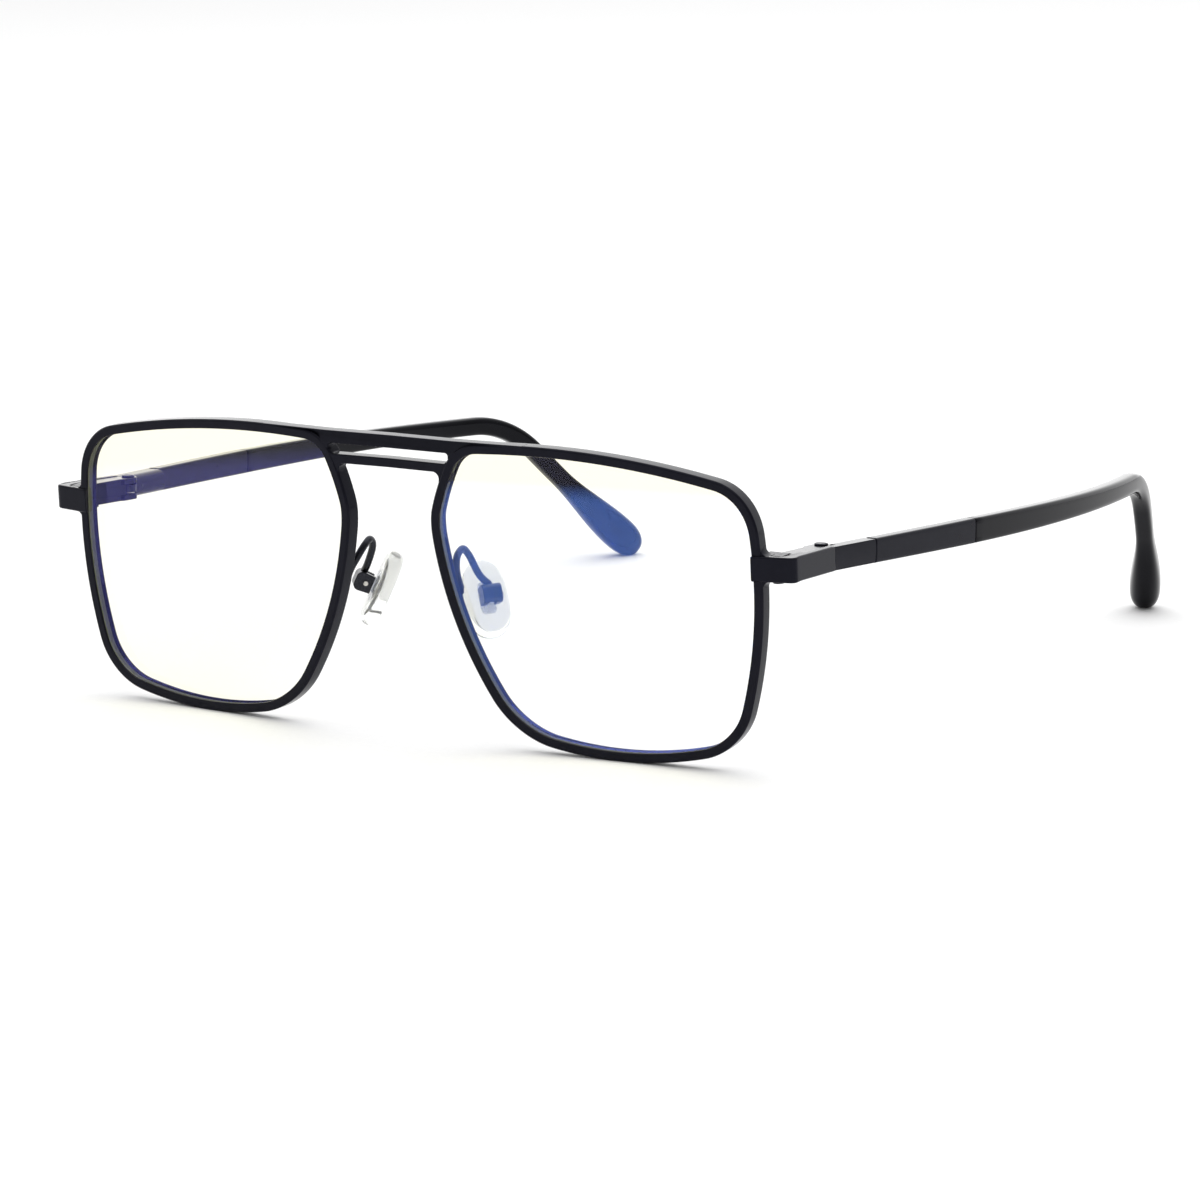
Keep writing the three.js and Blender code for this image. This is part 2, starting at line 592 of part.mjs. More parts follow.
const smooth = THREE.MathUtils.smoothstep;
const mix = THREE.MathUtils.lerp;
const tipFrontT = HINGE_TO_TIP + SEAT;
const bulbT = templeLength - BULB_FROM_END;

function tipSize(t) {
  const taper = smooth(t, tipFrontT, arcStart);
  const swell = smooth(t, bulbT - BULB_SWELL, bulbT);
  const past = Math.max(0, (t - bulbT) / (templeLength - bulbT));
  const close = Math.sqrt(Math.max(0.04, 1 - past * past));
  const thickness = mix(mix(BAR_THICKNESS, TIP_THICKNESS, taper), BULB_THICKNESS, swell) * close;
  const height = mix(mix(BAR_HEIGHT_REAR, TIP_HEIGHT_BEND, taper), BULB_HEIGHT, swell) * close;
  return { thickness, height, inset: mix(BAR_THICKNESS, TIP_THICKNESS, taper) / 2 };
}
function coreSize(grow) {
  return (t) => ({
    thickness: CORE_THICKNESS + 2 * grow,
    height: CORE_HEIGHT + 2 * grow,
    inset: tipSize(t).inset,
  });
}
const coreRearT = templeLength - CORE_FROM_END;
const coreFrontT = HINGE_TO_TIP - 2;
const tipSection = softSquare(0.55);
const coreSection = softSquare(0.4);
const barFrontT = CASE_LENGTH + SEAT;

const barSize = (t) => ({
  thickness: BAR_THICKNESS,
  height: mix(BAR_HEIGHT_FRONT, BAR_HEIGHT_REAR, (t - barFrontT) / (HINGE_TO_TIP - barFrontT)),
  inset: BAR_THICKNESS / 2,
});
const barSolid = sweep(softSquare(0.3), barFrontT, HINGE_TO_TIP, 8, barSize).add(
  sweep(coreSection, coreFrontT, coreRearT, 14, coreSize(0)),
);
const tipSolid = sweep(tipSection, tipFrontT, templeLength, 26, tipSize, 1.6).subtract(
  sweep(coreSection, coreFrontT, coreRearT + 2 * SEAT, 14, coreSize(2 * SEAT)),
);

// ---- Nose pads ----------------------------------------------------------------------------

// The pad frame: z up along the pad, y towards the nose, x across the pad. The pad leans so
// that its lower end is further out and further forward.
const padUp = new THREE.Vector3(-0.347, 0.278, 0.896).normalize();
const padFront = new THREE.Vector3(0.69, -0.571, 0.444).normalize();
const padY = padFront.clone().negate().addScaledVector(padUp, padFront.dot(padUp)).normalize();
const padX = padY.clone().cross(padUp);
const padFrame = new THREE.Matrix4().makeBasis(padX, padY, padUp);
const padPlace = new THREE.Vector3(BRIDGE_WIDTH / 2 + 0.9, 7.84, halfHeight - 26.55);
padFrame.setPosition(padPlace);

const padHalf = PAD_THICKNESS / 2;
const boxRearY = -padHalf - PAD_STANDOFF;
const boxFrontY = boxRearY - PAD_BOX_DEPTH;
const padPivotY = boxRearY - 1.2;
const slotX = PAD_BOX_WIDTH / 2 - PAD_BOX_CHEEK;
const padScrewHole = round(
  "x",
  PAD_SCREW_RADIUS + RUNNING,
  -PAD_BOX_WIDTH,
  PAD_BOX_WIDTH,
  [padPivotY, 0],
  12,
);
const padBoxSolid = box(
  [-PAD_BOX_WIDTH / 2, PAD_BOX_WIDTH / 2],
  [boxFrontY, boxRearY],
  [-PAD_BOX_HEIGHT / 2, PAD_BOX_HEIGHT / 2],
)
  .subtract(box([-slotX, slotX], [boxFrontY + 0.6, boxRearY + OVERCUT], [-PAD_BOX_HEIGHT, PAD_BOX_HEIGHT]))
  .subtract(padScrewHole);
const padHeadX = PAD_BOX_WIDTH / 2 + SEAT;
const padScrewSolid = round("x", PAD_SCREW_RADIUS, -PAD_BOX_WIDTH / 2, padHeadX + 0.5, [padPivotY, 0], 12)
  .add(round("x", PAD_HEAD_RADIUS, padHeadX, padHeadX + 0.5, [padPivotY, 0], 16))
  .subtract(box([padHeadX + 0.3, padHeadX + 2], [padPivotY - 2, padPivotY + 2], [-0.12, 0.12]));

function insertSolid(grow) {
  const plate = box(
    [-INSERT_WIDTH / 2 - grow, INSERT_WIDTH / 2 + grow],
    [-INSERT_THICKNESS / 2 - grow, INSERT_THICKNESS / 2 + grow],
    [-INSERT_LENGTH / 2 - grow, INSERT_LENGTH / 2 + grow],
  );
  const tab = box(
    [-TAB_THICKNESS / 2 - grow, TAB_THICKNESS / 2 + grow],
    [padPivotY - TAB_HEIGHT / 2, 0],
    [-TAB_HEIGHT / 2 - grow, TAB_HEIGHT / 2 + grow],
  );
  return plate.add(tab);
}
const padInsertSolid = insertSolid(0).subtract(
  round("x", PAD_SCREW_RADIUS + RUNNING, -2, 2, [padPivotY, 0], 12),
);

const padShape = new THREE.Shape();
const padHalfLength = PAD_LENGTH / 2 - PAD_EDGE;
const padHalfWidth = PAD_WIDTH / 2 - PAD_EDGE;
padShape.moveTo(0, padHalfLength);
padShape.bezierCurveTo(padHalfWidth * 0.9, padHalfLength, padHalfWidth, 2, padHalfWidth, -0.8);
padShape.bezierCurveTo(padHalfWidth, -4.2, padHalfWidth * 0.7, -padHalfLength, 0, -padHalfLength);
padShape.bezierCurveTo(-padHalfWidth * 0.7, -padHalfLength, -padHalfWidth, -4.2, -padHalfWidth, -0.8);
padShape.bezierCurveTo(-padHalfWidth, 2, -padHalfWidth * 0.9, padHalfLength, 0, padHalfLength);
const padGeometry = new THREE.ExtrudeGeometry(padShape, {
  depth: PAD_THICKNESS - 2 * PAD_EDGE,
  curveSegments: 7,
  bevelThickness: PAD_EDGE,
  bevelSize: PAD_EDGE,
  bevelSegments: 3,
});
padGeometry.rotateX(Math.PI / 2).translate(0, PAD_THICKNESS / 2 - PAD_EDGE, 0);
const nosePadSolid = solidOf(padGeometry).subtract(insertSolid(SEAT));

// The arm: brazed up the back of the rim, over a hairpin, and down into the top of the box.
const armEnd = new THREE.Vector3(0, boxFrontY + 1.0, PAD_BOX_HEIGHT / 2 - 0.2).applyMatrix4(padFrame);
const armRootX = BRIDGE_WIDTH / 2 + 1.8;
const armRootY = rimFrontAt(armRootX) + RIM_DEPTH + 0.8 * ARM_WIRE_RADIUS;
const armRoot = new THREE.Vector3(armRootX, armRootY, 0.2);
const fromRoot = (x, y, z) => armRoot.clone().add(new THREE.Vector3(x, y, z));
const armCurve = new THREE.CatmullRomCurve3([
  armRoot,
  fromRoot(-0.7, 0.25, 1.6),
  fromRoot(-1.4, 0.9, 3.1),
  fromRoot(-2.0, 2.3, 4.9),
  fromRoot(-2.0, 3.9, 5.6),
  fromRoot(-1.75, 5.0, 4.5),
  fromRoot(-0.1, 5.6, 1.0),
  armEnd,
]);
const padBoxKeepOut = moved(
  box(
    [-PAD_BOX_WIDTH / 2 - SEAT, PAD_BOX_WIDTH / 2 + SEAT],
    [boxFrontY - SEAT, boxRearY],
    [-PAD_BOX_HEIGHT / 2 - SEAT, PAD_BOX_HEIGHT / 2 + SEAT],
  ),
  padFrame,
);
const padArmSolid = solidOf(
  new THREE.ExtrudeGeometry(wireShape(ARM_WIRE_RADIUS, 8), { extrudePath: armCurve, steps: 20 }),
)
  .subtract(rimClearance)
  .subtract(padBoxKeepOut);

// ---- Assembly -----------------------------------------------------------------------------

function group(name, matrix, ...children) {
  const made = new THREE.Group();
  made.name = name;
  if (matrix) made.applyMatrix4(matrix);
  made.add(...children);
  return made;
}

function side(name, place) {
  const temple = group(
    "temple_frame_" + name,
    templeTurn,
    mesh("hinge_bush_" + name, bushSolid, BRIGHT_STEEL),
    mesh("hinge_tongue_" + name, tongueSolid, BRIGHT_STEEL),
    mesh("guide_sleeve_" + name, sleeveSolid, BRIGHT_STEEL),
    mesh("flex_spring_" + name, springSolid, BRIGHT_STEEL),
    mesh("spring_retainer_" + name, retainerSolid, BRIGHT_STEEL),
    mesh("spring_case_" + name, caseSolid, BLACK_METAL),
    mesh("case_pin_" + name, casePinSolid, DARK_STEEL),
    mesh("temple_bar_" + name, barSolid, BLACK_METAL),
    mesh("temple_tip_" + name, tipSolid, BLACK_ACETATE),
  );
  const hinge = group(
    "hinge_frame_" + name,
    hingeFrame,
    mesh("hinge_screw_" + name, hingeScrewSolid, BRIGHT_STEEL),
    temple,
  );
  const pad = group(
    "pad_frame_" + name,
    padFrame,
    mesh("pad_box_" + name, padBoxSolid, DARK_STEEL),
    mesh("pad_screw_" + name, padScrewSolid, BRIGHT_STEEL),
    mesh("pad_insert_" + name, padInsertSolid, CLEAR_SILICONE),
    mesh("nose_pad_" + name, nosePadSolid, CLEAR_SILICONE),
  );
  return group(
    "side_" + name,
    place,
    mesh("rim_" + name, rimSolid, BLACK_METAL),
    mesh("lens_" + name, lensSolid, CLEAR_LENS),
    mesh("endpiece_" + name, endpieceSolid, BLACK_METAL),
    mesh("lock_block_upper_" + name, lockBlock(ENDPIECE_MID + lockGap, lockTop, LOCK_SCREW_RADIUS + SEAT), BLACK_METAL),
    mesh("lock_block_lower_" + name, lockBlock(lockBottom, ENDPIECE_MID - lockGap, LOCK_SCREW_RADIUS + 2 * SEAT), BLACK_METAL),
    mesh("rim_lock_screw_" + name, lockScrewSolid, DARK_STEEL),
    mesh("pad_arm_" + name, padArmSolid, DARK_STEEL),
    hinge,
    pad,
  );
}

const front = group("design_frame", null, side("left", null), side("right", mirrored));
front.add(mesh("top_bridge", topBarSolid, BLACK_METAL), mesh("lower_bridge", lowerBarSolid, BLACK_METAL));

// Lowest point of the named meshes once the design frame is tipped by an angle.
function lowest(names, angle) {
  front.rotation.x = angle;
  front.updateMatrixWorld(true);
  let low = Infinity;
  const point = new THREE.Vector3();
  front.traverse((piece) => {
    if (!names.includes(piece.name)) return;
    const at = piece.geometry.attributes.position;
    for (let i = 0; i < at.count; i++) {
      low = Math.min(low, point.fromBufferAttribute(at, i).applyMatrix4(piece.matrixWorld).z);
    }
  });
  return low;
}

// The tilt at which the rims and the temple ends rest on one level surface, by halving.
let tiltLow = degrees(-10);
let tiltHigh = degrees(20);
for (let i = 0; i < 30; i++) {
  const tilt = (tiltLow + tiltHigh) / 2;
  if (lowest(["temple_tip_left"], tilt) < lowest(["rim_left"], tilt)) tiltLow = tilt;
  else tiltHigh = tilt;
}
front.rotation.x = (tiltLow + tiltHigh) / 2;
front.updateMatrixWorld(true);
const bounds = new THREE.Box3().setFromObject(front, true);
front.position.set(0, -(bounds.min.y + bounds.max.y) / 2, -bounds.min.z);

const glasses = group("blue_light_glasses", null, front);

export default glasses;
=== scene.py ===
"""Blue light glasses: lacquered metal front with a double bridge, coated lenses,
clear nose pads, and temples on spring hinges with polished acetate ends.

Pieces are drawn in the maker's frame, in millimetres: x to the wearer's left, y to the
back, z up, lenses upright. Each side is drawn as the left one and mirrored for the right.
"""

import json
import math

import bmesh
import bpy
import numpy as np
from mathutils import Matrix, Vector


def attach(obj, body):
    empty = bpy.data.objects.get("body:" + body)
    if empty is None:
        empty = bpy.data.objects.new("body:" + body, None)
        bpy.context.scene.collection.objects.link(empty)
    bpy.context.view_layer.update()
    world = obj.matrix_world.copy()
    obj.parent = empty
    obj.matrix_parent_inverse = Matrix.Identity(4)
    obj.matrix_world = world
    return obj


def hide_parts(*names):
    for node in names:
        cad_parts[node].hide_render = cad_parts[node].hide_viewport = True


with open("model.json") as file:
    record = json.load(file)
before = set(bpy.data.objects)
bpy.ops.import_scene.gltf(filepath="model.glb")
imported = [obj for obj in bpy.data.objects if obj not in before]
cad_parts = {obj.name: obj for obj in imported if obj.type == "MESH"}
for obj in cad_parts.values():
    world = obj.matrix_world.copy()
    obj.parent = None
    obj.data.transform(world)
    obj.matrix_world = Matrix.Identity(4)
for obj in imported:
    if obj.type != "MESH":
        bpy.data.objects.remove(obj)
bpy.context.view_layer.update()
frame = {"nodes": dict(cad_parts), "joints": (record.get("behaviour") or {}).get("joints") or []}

SIDES = ("left", "right")
ROUND = 32  # sides of a small turned piece
EDGE_STEPS = 3  # flats across a rounded plate edge
SHARP_ANGLE = 32  # degrees, above which an edge is drawn sharp

# ---- Sizes, in millimetres ----------------------------------------------------------

OPENING_WIDTH = 55.0
OPENING_HEIGHT = 46.5
BRIDGE_WIDTH = 18.4
FACE_FORM = math.radians(4.6)
RIM_WIDTH = 1.55
RIM_DEPTH = 2.6
LENS_THICKNESS = 1.9
ENDPIECE_MID = 8.1
ENDPIECE_HEIGHT = 4.0
PLATE_THICKNESS = 0.4
PLATE_TURN = math.radians(10.5)
STRAP_THICKNESS = 1.35
CORNER_REACH = 6.95
CORNER_ROUND = 1.2
LEG_LENGTH = 15.45
LEG_INSET = 0.9
TEMPLE_SLOPE = math.radians(5.2)
TEMPLE_SPLAY = math.radians(5.0)
HINGE_INSET = 2.9
HINGE_BEHIND_SEAM = 0.5
EAR_RADIUS = 1.5
EAR_BELOW_TOP = 0.15
HALF_SLOT = 0.86
SEAM_GAP = 0.06
CASE_LENGTH = 10.9
CASE_HEIGHT = 3.75
CASE_BORE_RADIUS = 1.12
HINGE_TO_TIP = 39.8
BAR_THICKNESS = 2.3
BAR_FRONT_HEIGHT = 3.95
BAR_REAR_HEIGHT = 4.1
BEND_DISTANCE = 113.4
BEND_ANGLE = math.radians(44.6)
BEND_RADIUS = 20.0
DROP_LENGTH = 37.4
WRAP_START = 5.0
WRAP_DEPTH = 27.4
WRAP_POWER = 3.3
ARM_WIRE_RADIUS = 0.6
TIP_THICKNESS = 3.1
TIP_HEIGHT = 3.4
BULB_THICKNESS = 5.5
BULB_HEIGHT = 6.4
BULB_FROM_END = 5.2
BULB_SWELL = 16.0
PAD_LENGTH = 13.0
PAD_WIDTH = 7.5
PAD_THICKNESS = 2.9
PAD_EDGE = 1.25

half_width = OPENING_WIDTH / 2
half_height = OPENING_HEIGHT / 2
lens_x = BRIDGE_WIDTH / 2 + half_width
opening_edge = lens_x + half_width
corner_x = opening_edge + CORNER_REACH
seam_x = corner_x - LEG_INSET


def rim_front(x):
    """y of the rims' front face at x."""
    return math.tan(FACE_FORM) * (x - lens_x) - RIM_DEPTH / 2 / math.cos(FACE_FORM)


plate_inner_x = opening_edge - 0.2
plate_front_y = rim_front(plate_inner_x) - 0.05 - PLATE_THICKNESS
plate_back_y = plate_front_y + PLATE_THICKNESS + STRAP_THICKNESS
seam_y = plate_front_y + LEG_LENGTH
leg_bend_y = plate_front_y + 3.4
hinge_x = seam_x - HINGE_INSET
hinge_y = seam_y + HINGE_BEHIND_SEAM
hinge_z = ENDPIECE_MID - math.tan(TEMPLE_SLOPE) * (hinge_y - leg_bend_y)

# ---- Frames -------------------------------------------------------------------------

hinge_frame = Matrix.Translation((hinge_x, hinge_y, hinge_z)) @ Matrix.Rotation(-TEMPLE_SLOPE, 4, "X")
temple_frame = hinge_frame @ Matrix.Rotation(-TEMPLE_SPLAY, 4, "Z")
lens_frame = Matrix.Translation((lens_x, 0, 0)) @ Matrix.Rotation(FACE_FORM, 4, "Z")

pad_up = Vector((-0.347, 0.278, 0.896)).normalized()
pad_front = Vector((0.69, -0.571, 0.444)).normalized()
pad_y = (pad_up * pad_front.dot(pad_up) - pad_front).normalized()
pad_x = pad_y.cross(pad_up)
pad_place = Vector((BRIDGE_WIDTH / 2 + 0.9, 7.84, half_height - 26.55))
pad_frame = Matrix((
    (pad_x.x, pad_y.x, pad_up.x, pad_place.x),
    (pad_x.y, pad_y.y, pad_up.y, pad_place.y),
    (pad_x.z, pad_y.z, pad_up.z, pad_place.z),
    (0, 0, 0, 1),
))

# The glasses stand tipped on both rims and both temple ends. The fold joint gives the tilt
# and the place of the maker's frame in the row frame.
joints = {joint["name"]: joint for joint in frame["joints"]}
fold = joints["fold_left"]
tilt = TEMPLE_SLOPE - math.asin(fold["axis"][1])
tip_over = Matrix.Rotation(tilt, 4, "X")
hinge_now = tip_over @ Vector((hinge_x, hinge_y, hinge_z))
standing = Matrix.Translation(Vector(fold["pos_m"]) * 1000 - hinge_now) @ tip_over
to_row = Matrix.Scale(0.001, 4) @ standing

# ---- Colours and materials ----------------------------------------------------------


def linear(hex_colour):
    """sRGB hex to linear red, green, blue and an alpha of 1."""
    values = [int(hex_colour[i:i + 2], 16) / 255 for i in (1, 3, 5)]
    return [v / 12.92 if v <= 0.04045 else ((v + 0.055) / 1.055) ** 2.4 for v in values] + [1.0]


def add_node(tree, kind, settings=None, inputs=None):
    """A node of that kind. An input given as (node, output) is linked, and any other is set."""
    node = tree.nodes.new(kind)
    for name, value in (settings or {}).items():
        setattr(node, name, value)
    for name, value in (inputs or {}).items():
        if isinstance(value, tuple) and len(value) == 2 and isinstance(value[0], bpy.types.Node):
            tree.links.new(value[0].outputs[value[1]], node.inputs[name])
        else:
            node.inputs[name].default_value = value
    return node


def new_material(name):
    material = bpy.data.materials.new(name)
    material.use_nodes = True
    material.node_tree.nodes.clear()
    return material, material.node_tree


def show(tree, shader):
    add_node(tree, "ShaderNodeOutputMaterial", inputs={"Surface": (shader, 0)})


def ramp(tree, source, stops):
    """A colour ramp on a node's first output; stops are (position, colour)."""
    node = add_node(tree, "ShaderNodeValToRGB", inputs={"Fac": source})
    elements = node.color_ramp.elements
    while len(elements) < len(stops):
        elements.new(0.5)
    for element, (position, colour) in zip(elements, stops):
        element.position = position
        element.color = colour
    return node


def grey(value):
    return [value, value, value, 1.0]


def baked_lacquer():
    """Satin black lacquer, sprayed and baked on nickel alloy: a dark blue-black that goes
    light grey at grazing angles, with the slight ripple of sprayed paint."""
    material, tree = new_material("baked_black_lacquer")
    place = add_node(tree, "ShaderNodeTexCoord")
    # Spray ripple is about 0.4 mm across, and the mottling of the gloss about 3 mm.
    ripple = add_node(tree, "ShaderNodeTexNoise", inputs={
        "Vector": (place, "Object"), "Scale": 2500.0, "Detail": 3.0, "Roughness": 0.5})
    mottle = add_node(tree, "ShaderNodeTexNoise", inputs={
        "Vector": (place, "Object"), "Scale": 330.0, "Detail": 4.0, "Roughness": 0.6})
    gloss = ramp(tree, (mottle, 0), [(0.3, grey(0.13)), (0.7, grey(0.19))])
    tone = ramp(tree, (mottle, 0), [(0.25, linear("#15151c")), (0.8, linear("#1b1b23"))])
    bump = add_node(tree, "ShaderNodeBump", inputs={
        "Height": (ripple, 0), "Strength": 0.04, "Distance": 0.00002})
    shader = add_node(tree, "ShaderNodeBsdfPrincipled", inputs={
        "Base Color": (tone, "Color"), "Roughness": (gloss, "Color"), "IOR": 1.5,
        "Specular IOR Level": 0.1, "Specular Tint": linear("#dcdff2"),
        "Normal": (bump, "Normal")})
    show(tree, shader)
    return material


def polished_acetate():
    """Black cellulose acetate, tumbled to a high gloss: sharp reflections, and faint swirls
    of finer polish that the eye only sees in the highlights."""
    material, tree = new_material("polished_black_acetate")
    place = add_node(tree, "ShaderNodeTexCoord")
    swirl = add_node(tree, "ShaderNodeTexNoise", inputs={
        "Vector": (place, "Object"), "Scale": 180.0, "Detail": 5.0, "Roughness": 0.55,
        "Distortion": 1.2})
    gloss = ramp(tree, (swirl, 0), [(0.3, grey(0.07)), (0.75, grey(0.13))])
    tone = ramp(tree, (swirl, 0), [(0.2, linear("#08080a")), (0.8, linear("#0d0d11"))])
    bump = add_node(tree, "ShaderNodeBump", inputs={
        "Height": (swirl, 0), "Strength": 0.02, "Distance": 0.00005})
    shader = add_node(tree, "ShaderNodeBsdfPrincipled", inputs={
        "Base Color": (tone, "Color"), "Roughness": (gloss, "Color"), "IOR": 1.5,
        "Specular IOR Level": 0.12, "Specular Tint": linear("#e2e4f2"),
        "Normal": (bump, "Normal")})
    show(tree, shader)
    return material


def drawn_steel(name, light, dark, roughness):
    """Plated steel wire and turned pins: fine lines along the drawing direction, 0.05 mm
    apart in life and drawn at 0.2 mm so that they show."""
    material, tree = new_material(name)
    place = add_node(tree, "ShaderNodeTexCoord")
    stretch = add_node(tree, "ShaderNodeMapping", inputs={
        "Vector": (place, "Object"), "Scale": (5000.0, 600.0, 5000.0)})
    lines = add_node(tree, "ShaderNodeTexNoise", inputs={
        "Vector": (stretch, 0), "Scale": 1.0, "Detail": 3.0, "Roughness": 0.6})
    tone = ramp(tree, (lines, 0), [(0.3, linear(dark)), (0.7, linear(light))])
    gloss = ramp(tree, (lines, 0), [(0.3, grey(roughness)), (0.7, grey(roughness + 0.1))])
    bump = add_node(tree, "ShaderNodeBump", inputs={
        "Height": (lines, 0), "Strength": 0.08, "Distance": 0.00002})
    shader = add_node(tree, "ShaderNodeBsdfPrincipled", inputs={
        "Base Color": (tone, "Color"), "Metallic": 1.0, "Roughness": (gloss, "Color"),
        "Normal": (bump, "Normal")})
    show(tree, shader)
    return material


def moulded_clear(name, colour, low, high):
    """Clear moulded plastic with the fine cloudiness of its mould, between two roughnesses."""
    material, tree = new_material(name)
    place = add_node(tree, "ShaderNodeTexCoord")
    cloud = add_node(tree, "ShaderNodeTexNoise", inputs={
        "Vector": (place, "Object"), "Scale": 700.0, "Detail": 4.0, "Roughness": 0.6})
    gloss = ramp(tree, (cloud, 0), [(0.35, grey(low)), (0.75, grey(high))])
    bump = add_node(tree, "ShaderNodeBump", inputs={
        "Height": (cloud, 0), "Strength": 0.06, "Distance": 0.0001})
    shader = add_node(tree, "ShaderNodeBsdfPrincipled", inputs={
        "Base Color": linear(colour), "Roughness": (gloss, "Color"), "IOR": 1.41,
        "Transmission Weight": 0.86, "Normal": (bump, "Normal")})
    show(tree, shader)
    return material


# Where the lens's reflection is painted dark, in metres in the row frame: the height of the painted line
# above which the mirror colour goes dark, the height over which it fades, and each lens's slant and shift
# of that line.
PAINTED_VEIL_TOP = 0.043
PAINTED_VEIL_FADE = 0.0025
PAINTED_VEIL_LEAN = {"left": -0.02, "right": -0.15}
PAINTED_VEIL_LIFT = {"left": 0.0, "right": -0.0055}


def coated_lens():
    """Clear resin with a vacuum coating that turns back blue light: white behind it stays
    white with a faint warm tint, and dark things behind it take a violet-blue veil."""
    material, tree = new_material("blue_coated_lens")
    place = add_node(tree, "ShaderNodeTexCoord")
    # The coating's thickness drifts over the lens, so the veil drifts from violet to blue.
    drift = add_node(tree, "ShaderNodeTexNoise", inputs={
        "Vector": (place, "Object"), "Scale": 18.0, "Detail": 1.0, "Roughness": 0.4})
    veil = ramp(tree, (drift, 0), [(0.35, linear("#303064")), (0.65, linear("#273b69"))])
    through = ramp(tree, (drift, 0), [(0.35, linear("#fcfcf2")), (0.65, linear("#fdfbf0"))])
    # Painted reflection: a few millimetres below the top of the lens the mirror colour is painted dark,
    # standing in for a dark part of the room reflected there. The two lenses are alike in life: the right
    # one is drawn with a darker painted veil, whose line climbs towards the nose, only to give the look
    # that the room's reflections give it in the main view.
    parts = add_node(tree, "ShaderNodeSeparateXYZ", inputs={0: (place, "Object")})
    on_left = add_node(tree, "ShaderNodeMath", {"operation": "GREATER_THAN"}, {
        0: (parts, "X"), 1: 0.0})
    lean = add_node(tree, "ShaderNodeMapRange", inputs={
        "Value": (on_left, 0), "To Min": PAINTED_VEIL_LEAN["right"], "To Max": PAINTED_VEIL_LEAN["left"]})
    lift = add_node(tree, "ShaderNodeMapRange", inputs={
        "Value": (on_left, 0), "To Min": PAINTED_VEIL_LIFT["right"], "To Max": PAINTED_VEIL_LIFT["left"]})
    raised = add_node(tree, "ShaderNodeMath", {"operation": "ADD"}, {
        0: (parts, "Z"), 1: (lift, 0)})
    level = add_node(tree, "ShaderNodeMath", {"operation": "MULTIPLY_ADD"}, {
        0: (parts, "X"), 1: (lean, 0), 2: (raised, 0)})
    upper = add_node(tree, "ShaderNodeMapRange", inputs={
        "Value": (level, 0), "From Min": PAINTED_VEIL_TOP - PAINTED_VEIL_FADE, "From Max": PAINTED_VEIL_TOP})
    # The right lens's mirror colour is a painted darker reflection; the left lens keeps the coating's own
    # veil colour.
    body = add_node(tree, "ShaderNodeMix", {"data_type": "RGBA"}, {
        "Factor": (on_left, 0), 6: linear("#1d1d44"), 7: (veil, "Color")})
    # Above the painted line the mirror colour goes to a painted dark reflection.
    veil_with_painted_dark = add_node(tree, "ShaderNodeMix", {"data_type": "RGBA"}, {
        "Factor": (upper, 0), 6: (body, 2), 7: linear("#12121d")})
    clear = add_node(tree, "ShaderNodeBsdfTransparent", inputs={"Color": (through, "Color")})
    mirror = add_node(tree, "ShaderNodeBsdfGlossy", inputs={
        "Color": (veil_with_painted_dark, 2), "Roughness": 0.02})
    shader = add_node(tree, "ShaderNodeAddShader")
    tree.links.new(clear.outputs[0], shader.inputs[0])
    tree.links.new(mirror.outputs[0], shader.inputs[1])
    show(tree, shader)
    return material


def ground_lens_edge():
    """The lens's V edge, left matt from the grinding wheel: a grey-green frosted band."""
    material, tree = new_material("ground_lens_edge")
    place = add_node(tree, "ShaderNodeTexCoord")
    grit = add_node(tree, "ShaderNodeTexNoise", inputs={
        "Vector": (place, "Object"), "Scale": 4000.0, "Detail": 2.0, "Roughness": 0.6})
    tone = ramp(tree, (grit, 0), [(0.3, linear("#4b4f43")), (0.7, linear("#5f6354"))])
    bump = add_node(tree, "ShaderNodeBump", inputs={
        "Height": (grit, 0), "Strength": 0.15, "Distance": 0.00003})
    shader = add_node(tree, "ShaderNodeBsdfPrincipled", inputs={
        "Base Color": (tone, "Color"), "Roughness": 0.55, "IOR": 1.56,
        "Normal": (bump, "Normal")})
    show(tree, shader)
    return material


lacquer = baked_lacquer()
acetate = polished_acetate()
dark_steel = drawn_steel("dark_plated_steel", "#3c3d42", "#232429", 0.28)
bright_steel = drawn_steel("bright_plated_steel", "#d4d2cc", "#a9a7a2", 0.2)
silicone = moulded_clear("clear_moulded_silicone", "#e9eae6", 0.05, 0.16)
insert_clear = moulded_clear("frosted_clear_nylon", "#d3d6de", 0.2, 0.35)
lens_coat = coated_lens()
lens_edge = ground_lens_edge()

# ---- Making meshes ------------------------------------------------------------------


def smooth(a, b, t):
    s = min(max((t - a) / (b - a), 0.0), 1.0)
    return s * s * (3 - 2 * s)


def mix(a, b, t):
    return a + (b - a) * t


def build(name, points, faces, place, side, material, sharp=SHARP_ANGLE):
    """A mesh object from points in the given frame, in mm, put where it lives in the row."""
    whole = to_row @ Matrix.Scale(-1 if side == "right" else 1, 4, (1, 0, 0)) @ place
    mesh = bpy.data.meshes.new(name)
    mesh.from_pydata([tuple(whole @ Vector(p)) for p in points], [], faces)
    shell = bmesh.new()
    shell.from_mesh(mesh)
    bmesh.ops.remove_doubles(shell, verts=shell.verts, dist=1e-7)
    bmesh.ops.recalc_face_normals(shell, faces=shell.faces)
    shell.to_mesh(mesh)
    shell.free()
    mesh.polygons.foreach_set("use_smooth", [True] * len(mesh.polygons))
    mesh.set_sharp_from_angle(angle=math.radians(sharp))
    made = bpy.data.objects.new(name, mesh)
    bpy.context.scene.collection.objects.link(made)
    made.data.materials.append(material)
    # Flat faces stay flat, and the roundings beside them carry the highlight.
    even = made.modifiers.new("even_normals", "WEIGHTED_NORMAL")
    even.keep_sharp = True
    return made


